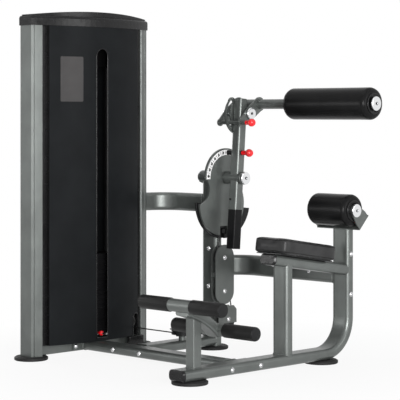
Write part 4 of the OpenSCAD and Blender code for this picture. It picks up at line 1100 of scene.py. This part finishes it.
# %% Spool on the arm hub
HUB_END_R, HUB_WAIST_R, HUB_BORE_R = 0.0313, 0.0283, 0.020
HUB_LENGTH, WAIST_FROM, WAIST_TO = 0.112, 0.088, 0.028
HUB_BLEND = 0.02
CAP_T = 0.0125
hub_axis = middle("pivot_shaft")
hub_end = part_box("pivot_shaft")[1][0] - CAP_T
hub_start = hub_end - HUB_LENGTH
spool_outline = [
    (hub_start, HUB_BORE_R), (hub_start, HUB_END_R), (hub_end - WAIST_FROM, HUB_WAIST_R),
    (hub_end - WAIST_TO, HUB_WAIST_R), (hub_end, HUB_END_R), (hub_end, HUB_BORE_R),
]
spool = turned(spool_outline, hub_axis, (2, 3), HUB_BLEND, rounding_steps=8)
make_piece("arm_hub_spool", spool, "frame_paint", "arm")
print("hub spool from", round(hub_start, 3), "to", round(hub_end, 3))

# %% [markdown]
# ## Two small screws
# A stop screw sits low on the arm's face towards the user, and one screw holds the end plug
# under the seat tube. Each is a short cone with a rounded rim, turned to its face.

# %% Stop screw and plug screw
HEAD_R, HEAD_TOP_R, HEAD_H, HEAD_ROUND = 0.0062, 0.0062 * 0.7, 0.004, 0.001
ARM_LEAN = math.radians(4.2)
STOP_AT = (-0.0890, 0.3332, 0.7459)
PLUG_SCREW_AT = (0.4445, 0.0594, 0.4722)


def screw(name, at, lean, slot, body):
    """A button head whose axis leans from +Z by an angle about X."""
    shape = bmesh.new()
    bmesh.ops.create_cone(
        shape, cap_ends=True, cap_tris=False, segments=32, radius1=HEAD_R, radius2=HEAD_TOP_R, depth=HEAD_H)
    rim = [e for e in shape.edges if all(v.co.z > 0 for v in e.verts)]
    soften_edges(shape, rim, HEAD_ROUND, steps=3)
    bmesh.ops.rotate(shape, cent=(0, 0, 0), matrix=Matrix.Rotation(lean, 3, "X"), verts=shape.verts)
    bmesh.ops.translate(shape, vec=at, verts=shape.verts)
    return make_piece(name, shape, slot, body, smooth=False)


screw("arm_stop_screw", STOP_AT, math.pi / 2 - ARM_LEAN, "dark_steel", "arm")
screw("seat_plug_screw", PLUG_SCREW_AT, math.pi + SEAT_SLOPE, "bare_steel", "frame")
print("screws at", STOP_AT, PLUG_SCREW_AT)

# %% [markdown]
# ## Scale marks
# Between the start holes the white scale carries short dark lines. On the machine they are
# printed; here each is a thin bar that lies on the scale's face and turns with the cam.

# %% Marks on the scale
MARK = (0.0004, 0.016, 0.002)
HOLE_RING_R = 0.123
FIRST_HOLE, HOLE_STEP = 85.8, 15.0
MARKS = 6
scale_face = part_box("cam_scale")[1][0]
marks = bmesh.new()
for i in range(MARKS):
    turn = math.radians(FIRST_HOLE + HOLE_STEP * (i + 0.5))
    bar = bmesh.ops.create_cube(marks, size=1.0)["verts"]
    bmesh.ops.scale(marks, vec=MARK, verts=bar)
    bmesh.ops.translate(marks, vec=(0, HOLE_RING_R, 0), verts=bar)
    bmesh.ops.rotate(marks, cent=(0, 0, 0), matrix=Matrix.Rotation(turn, 3, "X"), verts=bar)
bmesh.ops.translate(marks, vec=(scale_face + MARK[0] / 2, hub_axis.y, hub_axis.z), verts=marks.verts)
make_piece("scale_marks", marks, "black_plastic", "cam", smooth=False)
print("scale marks:", MARKS)
